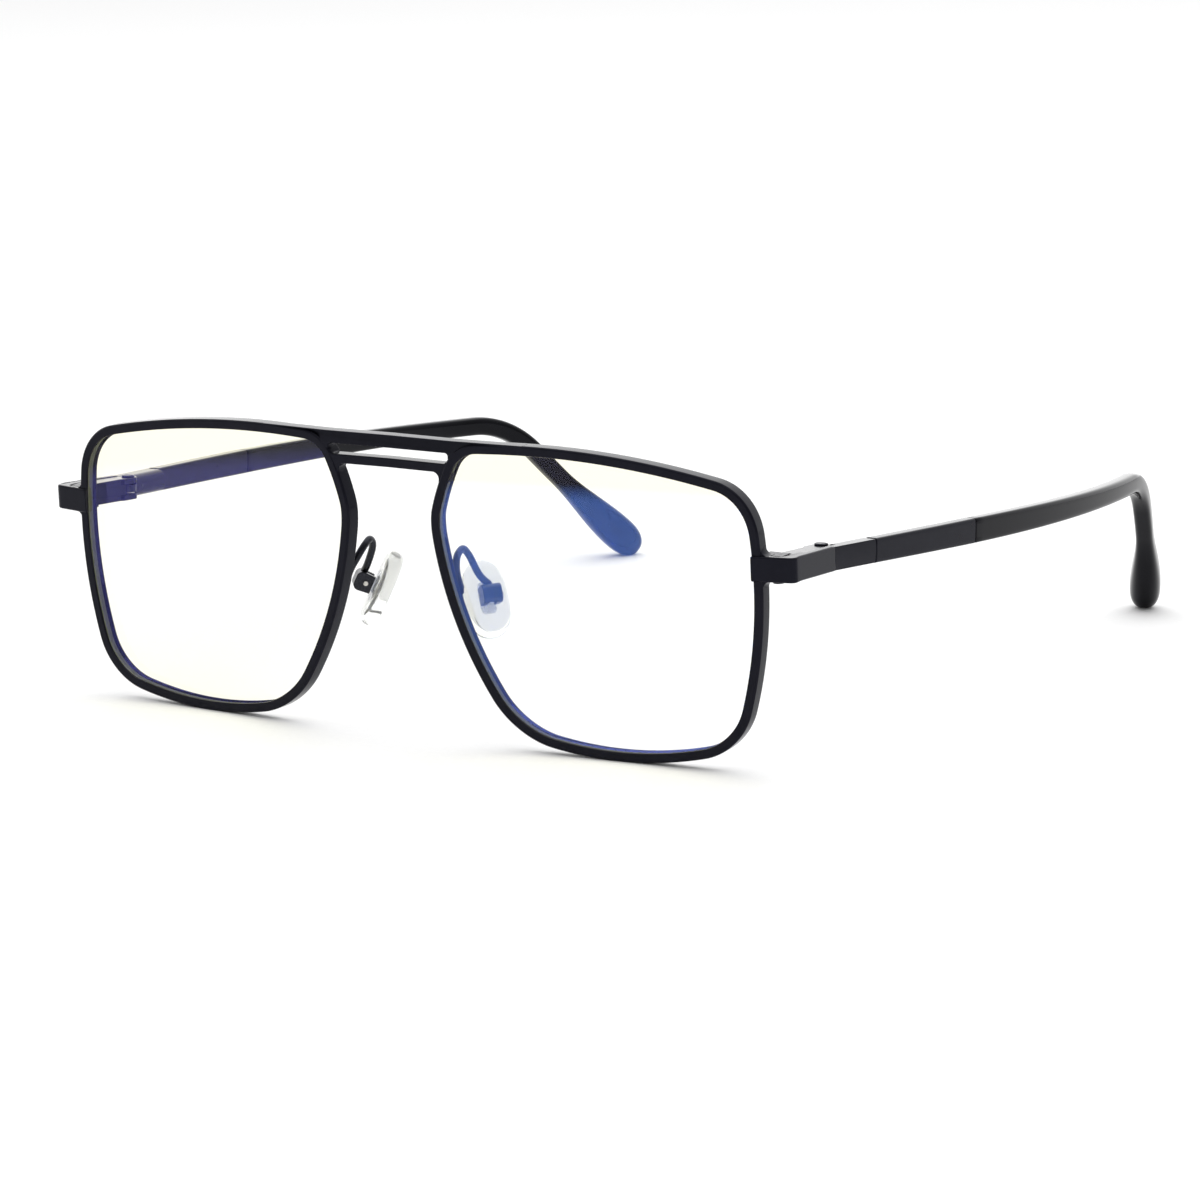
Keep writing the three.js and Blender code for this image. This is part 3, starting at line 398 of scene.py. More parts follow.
def loft(rings):
    """Points and faces of a skin over rings of equal length, capped at both ends."""
    count = len(rings[0])
    points = [p for ring in rings for p in ring]
    faces = []
    for i in range(len(rings) - 1):
        a, b = i * count, (i + 1) * count
        for j in range(count):
            k = (j + 1) % count
            faces.append((a + j, a + k, b + k, b + j))
    faces.append(tuple(range(count)))
    faces.append(tuple(range((len(rings) - 1) * count, len(rings) * count)))
    return points, faces


def inset(outline, amount):
    """A closed 2-D outline moved inwards, each point along its mitre."""
    p = np.asarray(outline, float)
    before = p - np.roll(p, 1, 0)
    after = np.roll(p, -1, 0) - p
    before /= np.linalg.norm(before, axis=1)[:, None]
    after /= np.linalg.norm(after, axis=1)[:, None]
    area = np.sum(p[:, 0] * np.roll(p[:, 1], -1) - np.roll(p[:, 0], -1) * p[:, 1])
    turn = 1 if area > 0 else -1
    n1 = turn * np.stack([-before[:, 1], before[:, 0]], 1)
    n2 = turn * np.stack([-after[:, 1], after[:, 0]], 1)
    mitre = n1 + n2
    mitre /= np.maximum(np.sum(mitre * n1, axis=1), 0.35)[:, None]
    return p + amount * mitre


def across_x(p, level):
    return (level, p[0], p[1])


def across_y(p, level):
    return (p[0], level, p[1])


def across_z(p, level):
    return (p[0], p[1], level)


def slab(outline, low, high, edge, put):
    """A plate over a 2-D outline between two levels, its edges rounded by `edge`.
    `put` turns (point, level) into a 3-D point."""
    levels = []
    for k in range(EDGE_STEPS + 1):
        a = math.pi / 2 * k / EDGE_STEPS
        levels.append((edge * (1 - math.sin(a)), low + edge * (1 - math.cos(a))))
    levels += [(inward, low + high - level) for inward, level in reversed(levels)]
    return loft([[put(p, level) for p in inset(outline, inward)] for inward, level in levels])


def thicken(outline, spacing):
    """The same closed outline with extra points, no further apart than the spacing."""
    points = []
    for a, b in zip(outline, outline[1:] + outline[:1]):
        parts = max(1, math.ceil(math.dist(a, b) / spacing))
        points += [tuple(np.array(a) + (np.array(b) - np.array(a)) * i / parts) for i in range(parts)]
    return points


def curve_points(controls, count, last=False):
    """Points along a Bezier curve of any order, in 2-D or 3-D."""
    t = np.linspace(0, 1, count, endpoint=last)[:, None]
    level = [np.asarray(c, float)[None, :] * np.ones_like(t) for c in controls]
    while len(level) > 1:
        level = [level[i] * (1 - t) + level[i + 1] * t for i in range(len(level) - 1)]
    return level[0]


def arc(centre, radius, start, end, count):
    """Points on an arc, angles in degrees."""
    angles = np.radians(np.linspace(start, end, count))
    return [(centre[0] + radius * math.cos(a), centre[1] + radius * math.sin(a)) for a in angles]


def turned(profile, axis, centre=(0, 0)):
    """A solid of revolution: profile is (radius, distance along the axis)."""
    rings = []
    for radius, along in profile:
        ring = []
        for i in range(ROUND):
            a = 2 * math.pi * i / ROUND
            u, v = centre[0] + radius * math.cos(a), centre[1] + radius * math.sin(a)
            ring.append({"x": (along, u, v), "y": (u, along, v), "z": (u, v, along)}[axis])
        rings.append(ring)
    return loft(rings)


def carve(body, cutter):
    """Cuts one object out of another, and removes the cutter. The cut goes before the
    even normals, which are left out while the cut mesh is taken."""
    step = body.modifiers.new("carve", "BOOLEAN")
    step.object = cutter
    step.operation = "DIFFERENCE"
    step.solver = "EXACT"
    body.modifiers.move(len(body.modifiers) - 1, 0)
    graph = bpy.context.evaluated_depsgraph_get()
    body.modifiers["even_normals"].show_viewport = False
    graph.update()
    result = bpy.data.meshes.new_from_object(body.evaluated_get(graph))
    body.modifiers.remove(step)
    body.modifiers["even_normals"].show_viewport = True
    body.data = result
    body.data.set_sharp_from_angle(angle=math.radians(SHARP_ANGLE))
    bpy.data.objects.remove(cutter)


def block(x, y, z):
    points = [(a, b, c) for a in x for b in y for c in z]
    faces = [(0, 1, 3, 2), (4, 6, 7, 5), (0, 4, 5, 1), (2, 3, 7, 6), (0, 2, 6, 4), (1, 5, 7, 3)]
    return points, faces


def settle(piece, body, slot, *nodes):
    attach(piece, body)
    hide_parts(*nodes)


# ---- Lens outline -------------------------------------------------------------------

# Corners of the opening about its centre, clockwise from the top nasal one, with the
# setback of each rounding and the outward bow of the edge that leaves it.
CORNERS = (
    (-half_width + 4.0, half_height, 3.2, 1.33),
    (half_width, half_height - 3.9, 6.5, 1.34),
    (half_width - 3.15, -half_height + 1.85, 6.75, 1.36),
    (-half_width + 12.0, -half_height + 0.95, 7.0, 1.44),
    (-half_width - 0.6, half_height - 12.2, 2.2, 0.19),
)


def crossing(p, d, q, e):
    """Where the line from p along d meets the line from q along e."""
    s = ((q[0] - p[0]) * e[1] - (q[1] - p[1]) * e[0]) / (d[0] * e[1] - d[1] * e[0])
    return p + s * d


def opening_line():
    """Closely spaced points round the opening, clockwise."""
    spans = []
    for i, (x, z, setback, bow) in enumerate(CORNERS):
        nx, nz, next_setback, _ = CORNERS[(i + 1) % len(CORNERS)]
        a, b = np.array([x, z]), np.array([nx, nz])
        along = (b - a) / np.linalg.norm(b - a)
        outward = np.array([-along[1], along[0]])
        start, end = a + along * setback, b - along * next_setback
        spans.append((start, (start + end) / 2 + outward * 2 * bow, end))
    pieces = []
    for i, (start, control, end) in enumerate(spans):
        start2, control2, _ = spans[(i + 1) % len(spans)]
        corner = crossing(end, end - control, start2, control2 - start2)
        handle1 = end + (corner - end) * 0.6
        handle2 = start2 + (corner - start2) * 0.6
        pieces.append(curve_points((start, control, end), 80))
        pieces.append(curve_points((end, handle1, handle2, start2), 80))
    return np.concatenate(pieces)


opening = opening_line()
steps_along = np.linalg.norm(np.roll(opening, -1, 0) - opening, axis=1)
run_length = np.concatenate([[0], np.cumsum(steps_along)])
closed_line = np.vstack([opening, opening[:1]])
tangent = np.roll(opening, -1, 0) - np.roll(opening, 1, 0)
tangent /= np.linalg.norm(tangent, axis=1)[:, None]
closed_normal = np.stack([-tangent[:, 1], tangent[:, 0]], 1)
closed_normal = np.vstack([closed_normal, closed_normal[:1]])


def on_opening(s):
    """Points and outward normals at distances s round the opening."""
    s = np.mod(s, run_length[-1])
    p = np.stack([np.interp(s, run_length, closed_line[:, k]) for k in (0, 1)], 1)
    n = np.stack([np.interp(s, run_length, closed_normal[:, k]) for k in (0, 1)], 1)
    return p, n / np.linalg.norm(n, axis=1)[:, None]


def distance_at_height(z):
    """Distance round the opening to the temporal side at a height."""
    i = max(k for k in range(len(opening)) if opening[k, 0] > 20 and opening[k, 1] > z)
    return run_length[i] + (opening[i, 1] - z)


# ---- Rims ---------------------------------------------------------------------------

half_depth = RIM_DEPTH / 2
half_lens = LENS_THICKNESS / 2
# Across the rim: distance outward of the opening, and back from the rim's middle.
RIM_SECTION = (
    (0.00, -half_depth + 0.16), (0.05, -half_depth + 0.05), (0.16, -half_depth),
    (RIM_WIDTH - 0.34, -half_depth), (RIM_WIDTH - 0.28, -half_depth + 0.02),
    (RIM_WIDTH - 0.03, -half_depth + 0.26), (RIM_WIDTH, -half_depth + 0.34),
    (RIM_WIDTH, half_depth - 0.22), (RIM_WIDTH - 0.06, half_depth - 0.07),
    (RIM_WIDTH - 0.22, half_depth), (0.18, half_depth), (0.05, half_depth - 0.05),
    (0.00, half_depth - 0.18), (0.00, half_lens + 0.05), (0.60, 0.12), (0.60, -0.12),
    (0.00, -half_lens - 0.05),
)


def rim(side):
    gap = 0.125
    start = distance_at_height(ENDPIECE_MID - gap)
    length = run_length[-1] - (start - distance_at_height(ENDPIECE_MID + gap))
    p, n = on_opening(start + np.linspace(0, length, 361))
    rings = [[(a[0] + b[0] * o, w, a[1] + b[1] * o) for o, w in RIM_SECTION] for a, b in zip(p, n)]
    made = build("rim_" + side, *loft(rings), lens_frame, side, lacquer)
    settle(made, "front", "frame_enamel", "rim_" + side)


def lens(side):
    p, n = on_opening(np.linspace(0, run_length[-1], 241)[:-1])
    # The V edge: its front half and its tip are ground, and its rear is left polished.
    levels = ((-0.04, -half_lens), (-0.02, -half_lens + 0.02), (0.5, -0.08), (0.5, 0.08),
              (0.26, 0.45), (-0.02, half_lens - 0.02), (-0.04, half_lens))
    ground = range(1, 4)
    rings = [[(a[0] + b[0] * o, w, a[1] + b[1] * o) for a, b in zip(p, n)] for o, w in levels]
    made = build("lens_" + side, *loft(rings), lens_frame, side, lens_coat, sharp=20)
    made.data.materials.append(lens_edge)
    for i, face in enumerate(made.data.polygons):
        face.material_index = 1 if i // len(p) in ground else 0
    settle(made, "front", "coated_lens", "lens_" + side)


# ---- Bridges ------------------------------------------------------------------------

opening_points, opening_normals = on_opening(np.linspace(0, run_length[-1], 1601)[:-1])


def outline_beside(offset):
    """The opening's outline moved outward, seen from the front, in the maker's frame."""
    p = opening_points + opening_normals * offset
    return np.stack([lens_x + p[:, 0] * math.cos(FACE_FORM), p[:, 1]], 1)


def nasal_x(z, offset=RIM_WIDTH):
    """x of the rim's outer edge on the nose side at a height."""
    line = outline_beside(offset)
    near = line[line[:, 0] < lens_x - 12]
    return near[np.argmin(abs(near[:, 1] - z)), 0]


def flare(edge_z, upward, radius):
    """The rounding from a level bar edge into the rim's nose side: points from the bar
    outward into the rim. `upward` is +1 for a bar's upper edge."""
    line = outline_beside(RIM_WIDTH + radius)
    near = line[line[:, 0] < lens_x - 12]
    centre_z = edge_z + upward * radius
    k = np.argmin(abs(near[:, 1] - centre_z))
    centre = near[k]
    surface = outline_beside(RIM_WIDTH)
    touch = surface[np.argmin(np.linalg.norm(surface - centre, axis=1))]
    start = math.atan2(-upward, 0.0)
    end = math.atan2(touch[1] - centre[1], touch[0] - centre[0])
    while end - start > math.pi:
        end -= 2 * math.pi
    while start - end > math.pi:
        end += 2 * math.pi
    angles = np.linspace(start, end, 9)
    return [(centre[0] + radius * math.cos(a), centre[1] + radius * math.sin(a)) for a in angles]


rim_top = half_height + RIM_WIDTH + 0.07
bar_front = rim_front(lens_x - half_width + 3)
TOP_BAR = (rim_top, rim_top - 2.1)
LOWER_BAR = (rim_top - 3.75, rim_top - 5.25)
BAR_DEPTH = 2.2


def bar(name, half, front, depth, edge):
    """A bridge bar from the right half of its outline, listed clockwise from the top middle."""
    outline = half + [(-x, z) for x, z in reversed(half[1:-1])]
    outline = thicken(outline, 1.2)

    def put(p, level):
        # The bar follows the rims as they turn back.
        turn = math.tan(FACE_FORM) * max(0.0, abs(p[0]) - 12.0)
        return (p[0], front + turn + level, p[1])

    made = build(name, *slab(outline, 0, depth, edge, put), Matrix(), "left", lacquer)
    settle(made, "front", "frame_enamel", name)


def top_bridge():
    # The bar's top edge runs out to the crest of each rim.
    line = outline_beside(RIM_WIDTH)
    near = line[line[:, 0] < lens_x]
    crest_x, crest_z = near[np.argmax(near[:, 1])]
    inner = nasal_x(TOP_BAR[1] - 0.6, RIM_WIDTH - 0.5)
    half = [(0, TOP_BAR[0] + 0.05), (crest_x * 0.5, (TOP_BAR[0] + crest_z) / 2 + 0.03)]
    half += [(crest_x, crest_z + 0.01), (crest_x + 0.4, crest_z - 0.5), (crest_x - 1.0, crest_z - 0.9)]
    half += [(inner + 1.2, TOP_BAR[1] - 0.1), (inner + 0.2, TOP_BAR[1] - 0.9)]
    half += list(reversed(flare(TOP_BAR[1], -1, 0.55)))
    half += [(0, TOP_BAR[1] + 0.05)]
    bar("top_bridge", half, bar_front - 0.01, BAR_DEPTH, 0.16)


def lower_bridge():
    upper = flare(LOWER_BAR[0], 1, 0.5)
    lower = flare(LOWER_BAR[1], -1, 1.1)
    deep = nasal_x((LOWER_BAR[0] + LOWER_BAR[1]) / 2, RIM_WIDTH - 0.75)
    half = [(0, LOWER_BAR[0] + 0.05)] + upper
    half += [(deep, upper[-1][1]), (deep, lower[-1][1])]
    half += list(reversed(lower)) + [(0, LOWER_BAR[1] + 0.05)]
    bar("lower_bridge", half, bar_front - 0.02, BAR_DEPTH, 0.2)


# ---- Endpieces ----------------------------------------------------------------------


FILLET_RADIUS = 1.3
FILLET_X = 65.5
FILLET_LEAN = 0.08


def sloped(p, level):
    """Plan outline and height to a point on the strap, which slopes down along the leg."""
    return (p[0], p[1], level - math.tan(TEMPLE_SLOPE) * max(0.0, p[1] - leg_bend_y))


def endpiece(side):
    slope = math.tan(PLATE_TURN)
    front_x = corner_x - CORNER_ROUND
    front_y = plate_front_y + slope * (front_x - plate_inner_x)
    side_y = front_y + CORNER_ROUND
    thick_x = opening_edge + 0.75
    leg_end_y = seam_y - SEAM_GAP
    inner_x = opening_edge + RIM_WIDTH + 2.85
    gusset_y = hinge_y - 8.9
    outline = [(plate_inner_x, plate_front_y + 0.12), (plate_inner_x + 0.06, plate_front_y + 0.02)]
    outline += [(plate_inner_x + 0.2, plate_front_y)]
    outline += [tuple(p) for p in curve_points(
        ((front_x, front_y), (corner_x, front_y + slope * CORNER_ROUND), (corner_x, side_y)), 9, True)]
    outline += [(seam_x, leg_end_y), (seam_x - STRAP_THICKNESS, leg_end_y)]
    outline += [(corner_x - STRAP_THICKNESS - 0.25, gusset_y), (inner_x, gusset_y - 0.2)]
    outline += [tuple(p) for p in curve_points(
        ((inner_x, plate_back_y + 0.6), (inner_x, plate_back_y), (inner_x - 0.6, plate_back_y)), 5, True)]
    outline += [(thick_x, plate_back_y), (thick_x, rim_front(thick_x) + 0.15)]
    outline += [(plate_inner_x, rim_front(plate_inner_x) + 0.1)]
    half = ENDPIECE_HEIGHT / 2
    made = build("endpiece_" + side, *slab(
        thicken(outline, 1.0), ENDPIECE_MID - half, ENDPIECE_MID + half, 0.3, sloped),
        Matrix(), side, lacquer)
    settle(made, "front", "frame_enamel", "endpiece_" + side)

    # The brazed joint between strap and rim: a small hollow fillet above and below.
    beside = outline_beside(RIM_WIDTH)
    for name, edge, upward in (("upper", ENDPIECE_MID + half, 1), ("lower", ENDPIECE_MID - half, -1)):
        line = outline_beside(RIM_WIDTH + FILLET_RADIUS)
        far = line[line[:, 0] > lens_x + 12]
        base = edge - upward * 0.02
        centre = far[np.argmin(abs(far[:, 1] - (base + upward * FILLET_RADIUS)))]
        touch = beside[np.argmin(np.linalg.norm(beside - centre, axis=1))]
        start = math.atan2(-upward, 0.0)
        end = math.atan2(touch[1] - centre[1], touch[0] - centre[0])
        if upward < 0:
            end = end if end > 0 else end + 2 * math.pi
        else:
            end = end if end < 0 else end - 2 * math.pi
        hollow = arc(centre, FILLET_RADIUS, math.degrees(start), math.degrees(end), 9)
        web = hollow + [(touch[0] - 0.6, touch[1]), (touch[0] - 0.6, base - upward * 0.8),
                        (hollow[0][0], base - upward * 0.8)]
        fillet = build(
            "fillet_" + name + "_" + side,
            *slab(web, rim_front(FILLET_X) + 0.32, rim_front(FILLET_X) + RIM_DEPTH - 0.3, 0.12,
                  lambda p, level: (p[0], level + FILLET_LEAN * (p[0] - FILLET_X), p[1])),
            Matrix(), side, lacquer)
        settle(fillet, "front", "frame_enamel")

    # Two ears on a root block, with the hinge slot between them.
    ear_top = half - EAR_BELOW_TOP
    root_x = HINGE_INSET - 0.6
    ear = [(-1.1, -10.9), (root_x, -10.9), (root_x, -0.7), (EAR_RADIUS, -0.65)]
    ear += arc((0, 0), EAR_RADIUS, -22, 180, 26) + [(-EAR_RADIUS, -2.9), (-1.1, -3.4)]
    for name, low, high in (("upper", HALF_SLOT, ear_top), ("lower", -ear_top, -HALF_SLOT)):
        plate = build("ear_" + name + "_" + side, *slab(thicken(ear, 1.5), low, high, 0.14, across_z),
                      hinge_frame, side, lacquer)
        settle(plate, "front", "frame_enamel")
    root = [(-1.08, -10.85), (root_x, -10.85), (root_x, -1.75), (-0.4, -1.75), (-1.08, -1.95)]
    web = build("hinge_root_" + side, *slab(root, -HALF_SLOT - 0.2, HALF_SLOT + 0.2, 0.05, across_z),
                hinge_frame, side, lacquer)
    settle(web, "front", "frame_enamel")


def slotted_screw(name, side, place, axis, centre, radius, low, high, head, thickness, slot, material):
    """A turned screw with a domed head at its high end, and a slot across it."""
    top = high + thickness
    profile = [(radius, low), (radius, high)]
    profile += [(head - 0.06, high), (head, high + 0.06), (head, top - 0.12)]
    profile += [(head - 0.05, top - 0.04), (head - 0.16, top), (head * 0.5, top + 0.03)]
    screw = build(name, *turned(profile, axis, centre), place, side, material)
    cut = {
        "z": ((centre[0] - 2, centre[0] + 2), (centre[1] - slot, centre[1] + slot), (top - 0.16, top + 1)),
        "x": ((top - 0.16, top + 1), (centre[0] - 2, centre[0] + 2), (centre[1] - slot, centre[1] + slot)),
    }[axis]
    carve(screw, build("cutter", *block(*cut), place, side, material))
    return screw


def hinge_screw(side):
    top = ENDPIECE_HEIGHT / 2 - EAR_BELOW_TOP
    screw = slotted_screw("hinge_screw_" + side, side, hinge_frame, "z", (0, 0),
                          0.5, -top + 0.05, top, 1.1, 0.3, 0.17, dark_steel)
    settle(screw, "front", "dark_steel", "hinge_screw_" + side)


# ---- Spring cases and temples -------------------------------------------------------


def spring_case(side):
    outer, inner, edge_x = HINGE_INSET, HINGE_INSET - 3.5, HINGE_INSET - 2.1
    top = CASE_HEIGHT / 2
    # The outer face is very slightly crowned, and the inner side bulges over the bore.
    face = curve_points(((outer - 0.05, -top), (outer + 0.22, 0), (outer - 0.05, top)), 13, True)
    bulge = curve_points(((edge_x, top), (inner, top - 0.2), (inner, 0.8), (inner, 0)), 10)
    lower = curve_points(((inner, 0), (inner, -0.8), (inner, -top + 0.2), (edge_x, -top)), 10, True)
    outline = [tuple(p) for p in face] + [tuple(p) for p in bulge] + [tuple(p) for p in lower]
    case = build("spring_case_" + side, *slab(
        outline, -HINGE_BEHIND_SEAM + SEAM_GAP, CASE_LENGTH, 0.16, across_y),
        temple_frame, side, lacquer)
    pocket = build("cutter", *block((inner - 1, EAR_RADIUS + 0.12), (-2, EAR_RADIUS + 0.15), (-4, 4)),
                   temple_frame, side, lacquer)
    carve(case, pocket)
    ends = [(CASE_BORE_RADIUS, 0.5), (CASE_BORE_RADIUS, CASE_LENGTH - 0.7)]
    bore = build("cutter", *turned(ends, "y", (0.9, 0)), temple_frame, side, lacquer)
    carve(case, bore)
    settle(case, "temple_" + side, "frame_enamel", "spring_case_" + side)


arc_setback = BEND_RADIUS * math.tan(BEND_ANGLE / 2)
arc_start = BEND_DISTANCE - arc_setback
arc_length = BEND_RADIUS * BEND_ANGLE
temple_length = arc_start + arc_length + DROP_LENGTH - arc_setback


def side_view(t):
    """y and z of the temple's line at a distance behind the hinge axis."""
    if t <= arc_start:
        return t, 0.0
    turn = min((t - arc_start) / BEND_RADIUS, BEND_ANGLE)
    after = max(0.0, t - arc_start - arc_length)
    return (arc_start + BEND_RADIUS * math.sin(turn) + after * math.cos(BEND_ANGLE),
            -BEND_RADIUS * (1 - math.cos(turn)) - after * math.sin(BEND_ANGLE))


temple_end_y = side_view(temple_length)[0]


def run_point(t, inward):
    y, z = side_view(t)
    wrap = WRAP_DEPTH * (max(0.0, y - WRAP_START) / (temple_end_y - WRAP_START)) ** WRAP_POWER
    return Vector((HINGE_INSET + 0.1 - inward - wrap, y, z))


def rounded(fullness, count):
    """A unit superellipse: 2 is round, and larger is squarer."""
    points = []
    for i in range(count):
        a = 2 * math.pi * i / count
        c, s = math.cos(a), math.sin(a)
        points.append((math.copysign(abs(c) ** (2 / fullness), c),
                       math.copysign(abs(s) ** (2 / fullness), s)))
    return points


def temple_ring(t, thickness, height, inward, section):
    here = run_point(t, inward)
    ahead = (run_point(t + 0.01, inward) - here).normalized()
    to_head = Vector((0, 0, 1)).cross(ahead).normalized()
    over = ahead.cross(to_head)
    return [tuple(here + to_head * (a * thickness / 2) + over * (b * height / 2)) for a, b in section]


def temple_bar(side):
    front, rear = CASE_LENGTH + SEAM_GAP, HINGE_TO_TIP
    # Both ends are chamfered where they meet their neighbours.
    chamfer = [(0.0, 0.34), (0.06, 0.16), (0.18, 0.0)]
    stations = [(front + along, shrink) for along, shrink in chamfer]
    stations += [(t, 0.0) for t in np.linspace(front + 1, rear - 1, 24)]
    stations += [(rear - along, shrink) for along, shrink in reversed(chamfer)]
    rings = []
    for t, shrink in stations:
        height = mix(BAR_FRONT_HEIGHT, BAR_REAR_HEIGHT, (t - front) / (rear - front))
        section = rounded(7.0, 56)
        rings.append(temple_ring(t, BAR_THICKNESS - shrink, height - shrink, BAR_THICKNESS / 2, section))
    made = build("temple_bar_" + side, *loft(rings), temple_frame, side, lacquer, sharp=28)
    settle(made, "temple_" + side, "frame_enamel", "temple_bar_" + side)


def temple_tip(side):
    front = HINGE_TO_TIP + 0.1
    neck = arc_start + arc_length
    bulb = temple_length - BULB_FROM_END
    stations = [front, front + 0.08] + list(np.linspace(front + 0.35, arc_start - 2, 34))
    stations += list(np.linspace(arc_start, neck, 36)) + list(np.linspace(neck + 1, bulb, 32))
    stations += [bulb + BULB_FROM_END * math.sin(a) for a in np.linspace(0.12, math.pi / 2, 18)]
    # The front end is chamfered where it meets the bar.
    broken = {front: 0.36, front + 0.08: 0.14}
    rings = []
    for t in stations:
        taper = smooth(front, arc_start, t)
        swell = smooth(bulb - BULB_SWELL, bulb, t)
        past = max(0.0, t - bulb) / BULB_FROM_END
        shut = max(0.02, 1 - past ** 2.4) ** 0.46
        neck_thickness = mix(BAR_THICKNESS, TIP_THICKNESS, taper)
        neck_height = mix(BAR_REAR_HEIGHT, TIP_HEIGHT, taper)
        thickness = mix(neck_thickness, BULB_THICKNESS, swell) * shut - broken.get(t, 0)
        height = mix(neck_height, BULB_HEIGHT, swell) * shut - broken.get(t, 0)
        fullness = mix(mix(6.0, 3.4, taper), 2.6, swell)
        rings.append(temple_ring(t, thickness, height, neck_thickness / 2, rounded(fullness, 56)))
    made = build("temple_tip_" + side, *loft(rings), temple_frame, side, acetate, sharp=35)
    settle(made, "temple_" + side, "black_acetate", "temple_tip_" + side)


# ---- Nose pads ----------------------------------------------------------------------

pad_back = -PAD_THICKNESS / 2
box_back = pad_back - 0.35
box_front = box_back - 3.0
pivot_y = box_back - 1.2


def through(points, count):
    """A smooth line through points: centripetal Catmull-Rom, `count` steps in all."""
    p = [Vector(q) for q in points]
    p = [p[0] * 2 - p[1]] + p + [p[-1] * 2 - p[-2]]
    spans = len(points) - 1
    line = []
    for i in range(count + 1):
        s = min(i / count * spans, spans - 1e-9)
        k = int(s)
        a, b, c, d = p[k:k + 4]
        t0 = 0.0
        t1 = t0 + (b - a).length ** 0.5
        t2 = t1 + (c - b).length ** 0.5
        t3 = t2 + (d - c).length ** 0.5
        t = t1 + (t2 - t1) * (s - k)
        a1 = a * ((t1 - t) / (t1 - t0)) + b * ((t - t0) / (t1 - t0))
        a2 = b * ((t2 - t) / (t2 - t1)) + c * ((t - t1) / (t2 - t1))
        a3 = c * ((t3 - t) / (t3 - t2)) + d * ((t - t2) / (t3 - t2))
        b1 = a1 * ((t2 - t) / (t2 - t0)) + a2 * ((t - t0) / (t2 - t0))
        b2 = a2 * ((t3 - t) / (t3 - t1)) + a3 * ((t - t1) / (t3 - t1))
        line.append(b1 * ((t2 - t) / (t2 - t1)) + b2 * ((t - t1) / (t2 - t1)))
    return line


def pad_arm(side):
    root_x = BRIDGE_WIDTH / 2 + 1.8
    root = Vector((root_x, rim_front(root_x) + RIM_DEPTH + 0.8 * ARM_WIRE_RADIUS, 0.2))
    end = pad_frame @ Vector((0, box_front + 1.0, 1.4))
    offsets = ((0, 0, 0), (-0.7, 0.25, 1.6), (-1.4, 0.9, 3.1), (-2.0, 2.3, 4.9), (-2.0, 3.9, 5.6),
               (-1.75, 5.0, 4.5), (-0.1, 5.6, 1.0))
    line = through([root + Vector(o) for o in offsets] + [end], 72)
    rings = []
    out = Vector((1, 0, 0))
    for i, here in enumerate(line):
        ahead = (line[min(i + 1, len(line) - 1)] - line[max(i - 1, 0)]).normalized()
        out = (out - ahead * out.dot(ahead)).normalized()
        over = ahead.cross(out)
        radius = ARM_WIRE_RADIUS * (0.8 if i in (0, len(line) - 1) else 1.0)
        rings.append([tuple(here + (out * math.cos(a) + over * math.sin(a)) * radius)
                      for a in np.linspace(0, 2 * math.pi, 17)[:-1]])
    made = build("pad_arm_" + side, *loft(rings), Matrix(), side, dark_steel)
    settle(made, "front", "dark_steel", "pad_arm_" + side)
    # The braze at the foot of the arm, a soft mound between wire and rim.
    mound = []
    for along, radius in ((-0.8, 0.15), (-0.5, 0.5), (0.2, 0.72), (1.4, 0.74), (2.3, 0.5), (2.7, 0.15)):
        spot = root + Vector((-0.42 * along, 0.12 * along - 0.35, along * 0.95))
        mound.append([(spot.x + radius * math.cos(a), spot.y + 0.75 * radius * math.sin(a), spot.z)
                      for a in np.linspace(0, 2 * math.pi, 19)[:-1]])
    braze = build("pad_braze_" + side, *loft(mound), Matrix(), side, lacquer, sharp=60)
    settle(braze, "front", "dark_steel")


def pad_box(side):
    # A clevis with a rounded back: two cheeks and the web that the wire enters.
    half = 1.6
    cheek = [(box_back, -1.45), (box_back, 1.45)] + arc((box_front + 1.0, 0.6), 1.0, 90, 180, 9)
    cheek += arc((box_front + 1.0, -0.6), 1.0, 180, 270, 9)
    whole = build("pad_box_" + side, *slab(cheek, -half, half, 0.18, across_x), pad_frame, side, dark_steel)
    carve(whole, build("cutter", *block((-0.7, 0.7), (box_front + 0.6, box_back + 1), (-3, 3)),
                       pad_frame, side, dark_steel))
    settle(whole, "front", "dark_steel", "pad_box_" + side)
    screw = slotted_screw("pad_screw_" + side, side, pad_frame, "x", (pivot_y, 0),
                          0.38, -1.95, 1.65, 0.8, 0.42, 0.13, bright_steel)
    settle(screw, "front", "bright_steel", "pad_screw_" + side)


def nose_pad(side):
    long, wide = PAD_LENGTH / 2, PAD_WIDTH / 2
    right = np.concatenate([
        curve_points(((0, long), (wide * 0.9, long), (wide, 2.4), (wide, -0.8)), 20),
        curve_points(((wide, -0.8), (wide, -4.4), (wide * 0.7, -long), (0, -long)), 20)])
    outline = [tuple(p) for p in right] + [(-x, z) for x, z in reversed(right[1:].tolist())]
    outline.insert(len(right), (0.0, -long))
    rings = []
    for a in np.linspace(-90, 90, 13):
        c, s = math.cos(math.radians(a)), math.sin(math.radians(a))
        ring = inset(outline, PAD_EDGE * (1 - c))
        rings.append([(p[0], (PAD_THICKNESS / 2 - 0.12) * s, p[1]) for p in ring])

    def crown(share, lift):
        middle = np.array([0.0, -0.3])
        return [(p[0], lift, p[1]) for p in middle + (inset(outline, PAD_EDGE) - middle) * share]

    rings = [crown(0.15, -PAD_THICKNESS / 2), crown(0.6, -PAD_THICKNESS / 2 + 0.02)] + rings
    rings += [crown(0.6, PAD_THICKNESS / 2 - 0.03), crown(0.15, PAD_THICKNESS / 2)]
    made = build("nose_pad_" + side, *loft(rings), pad_frame, side, silicone, sharp=60)
    settle(made, "pad_" + side, "clear_silicone", "nose_pad_" + side)


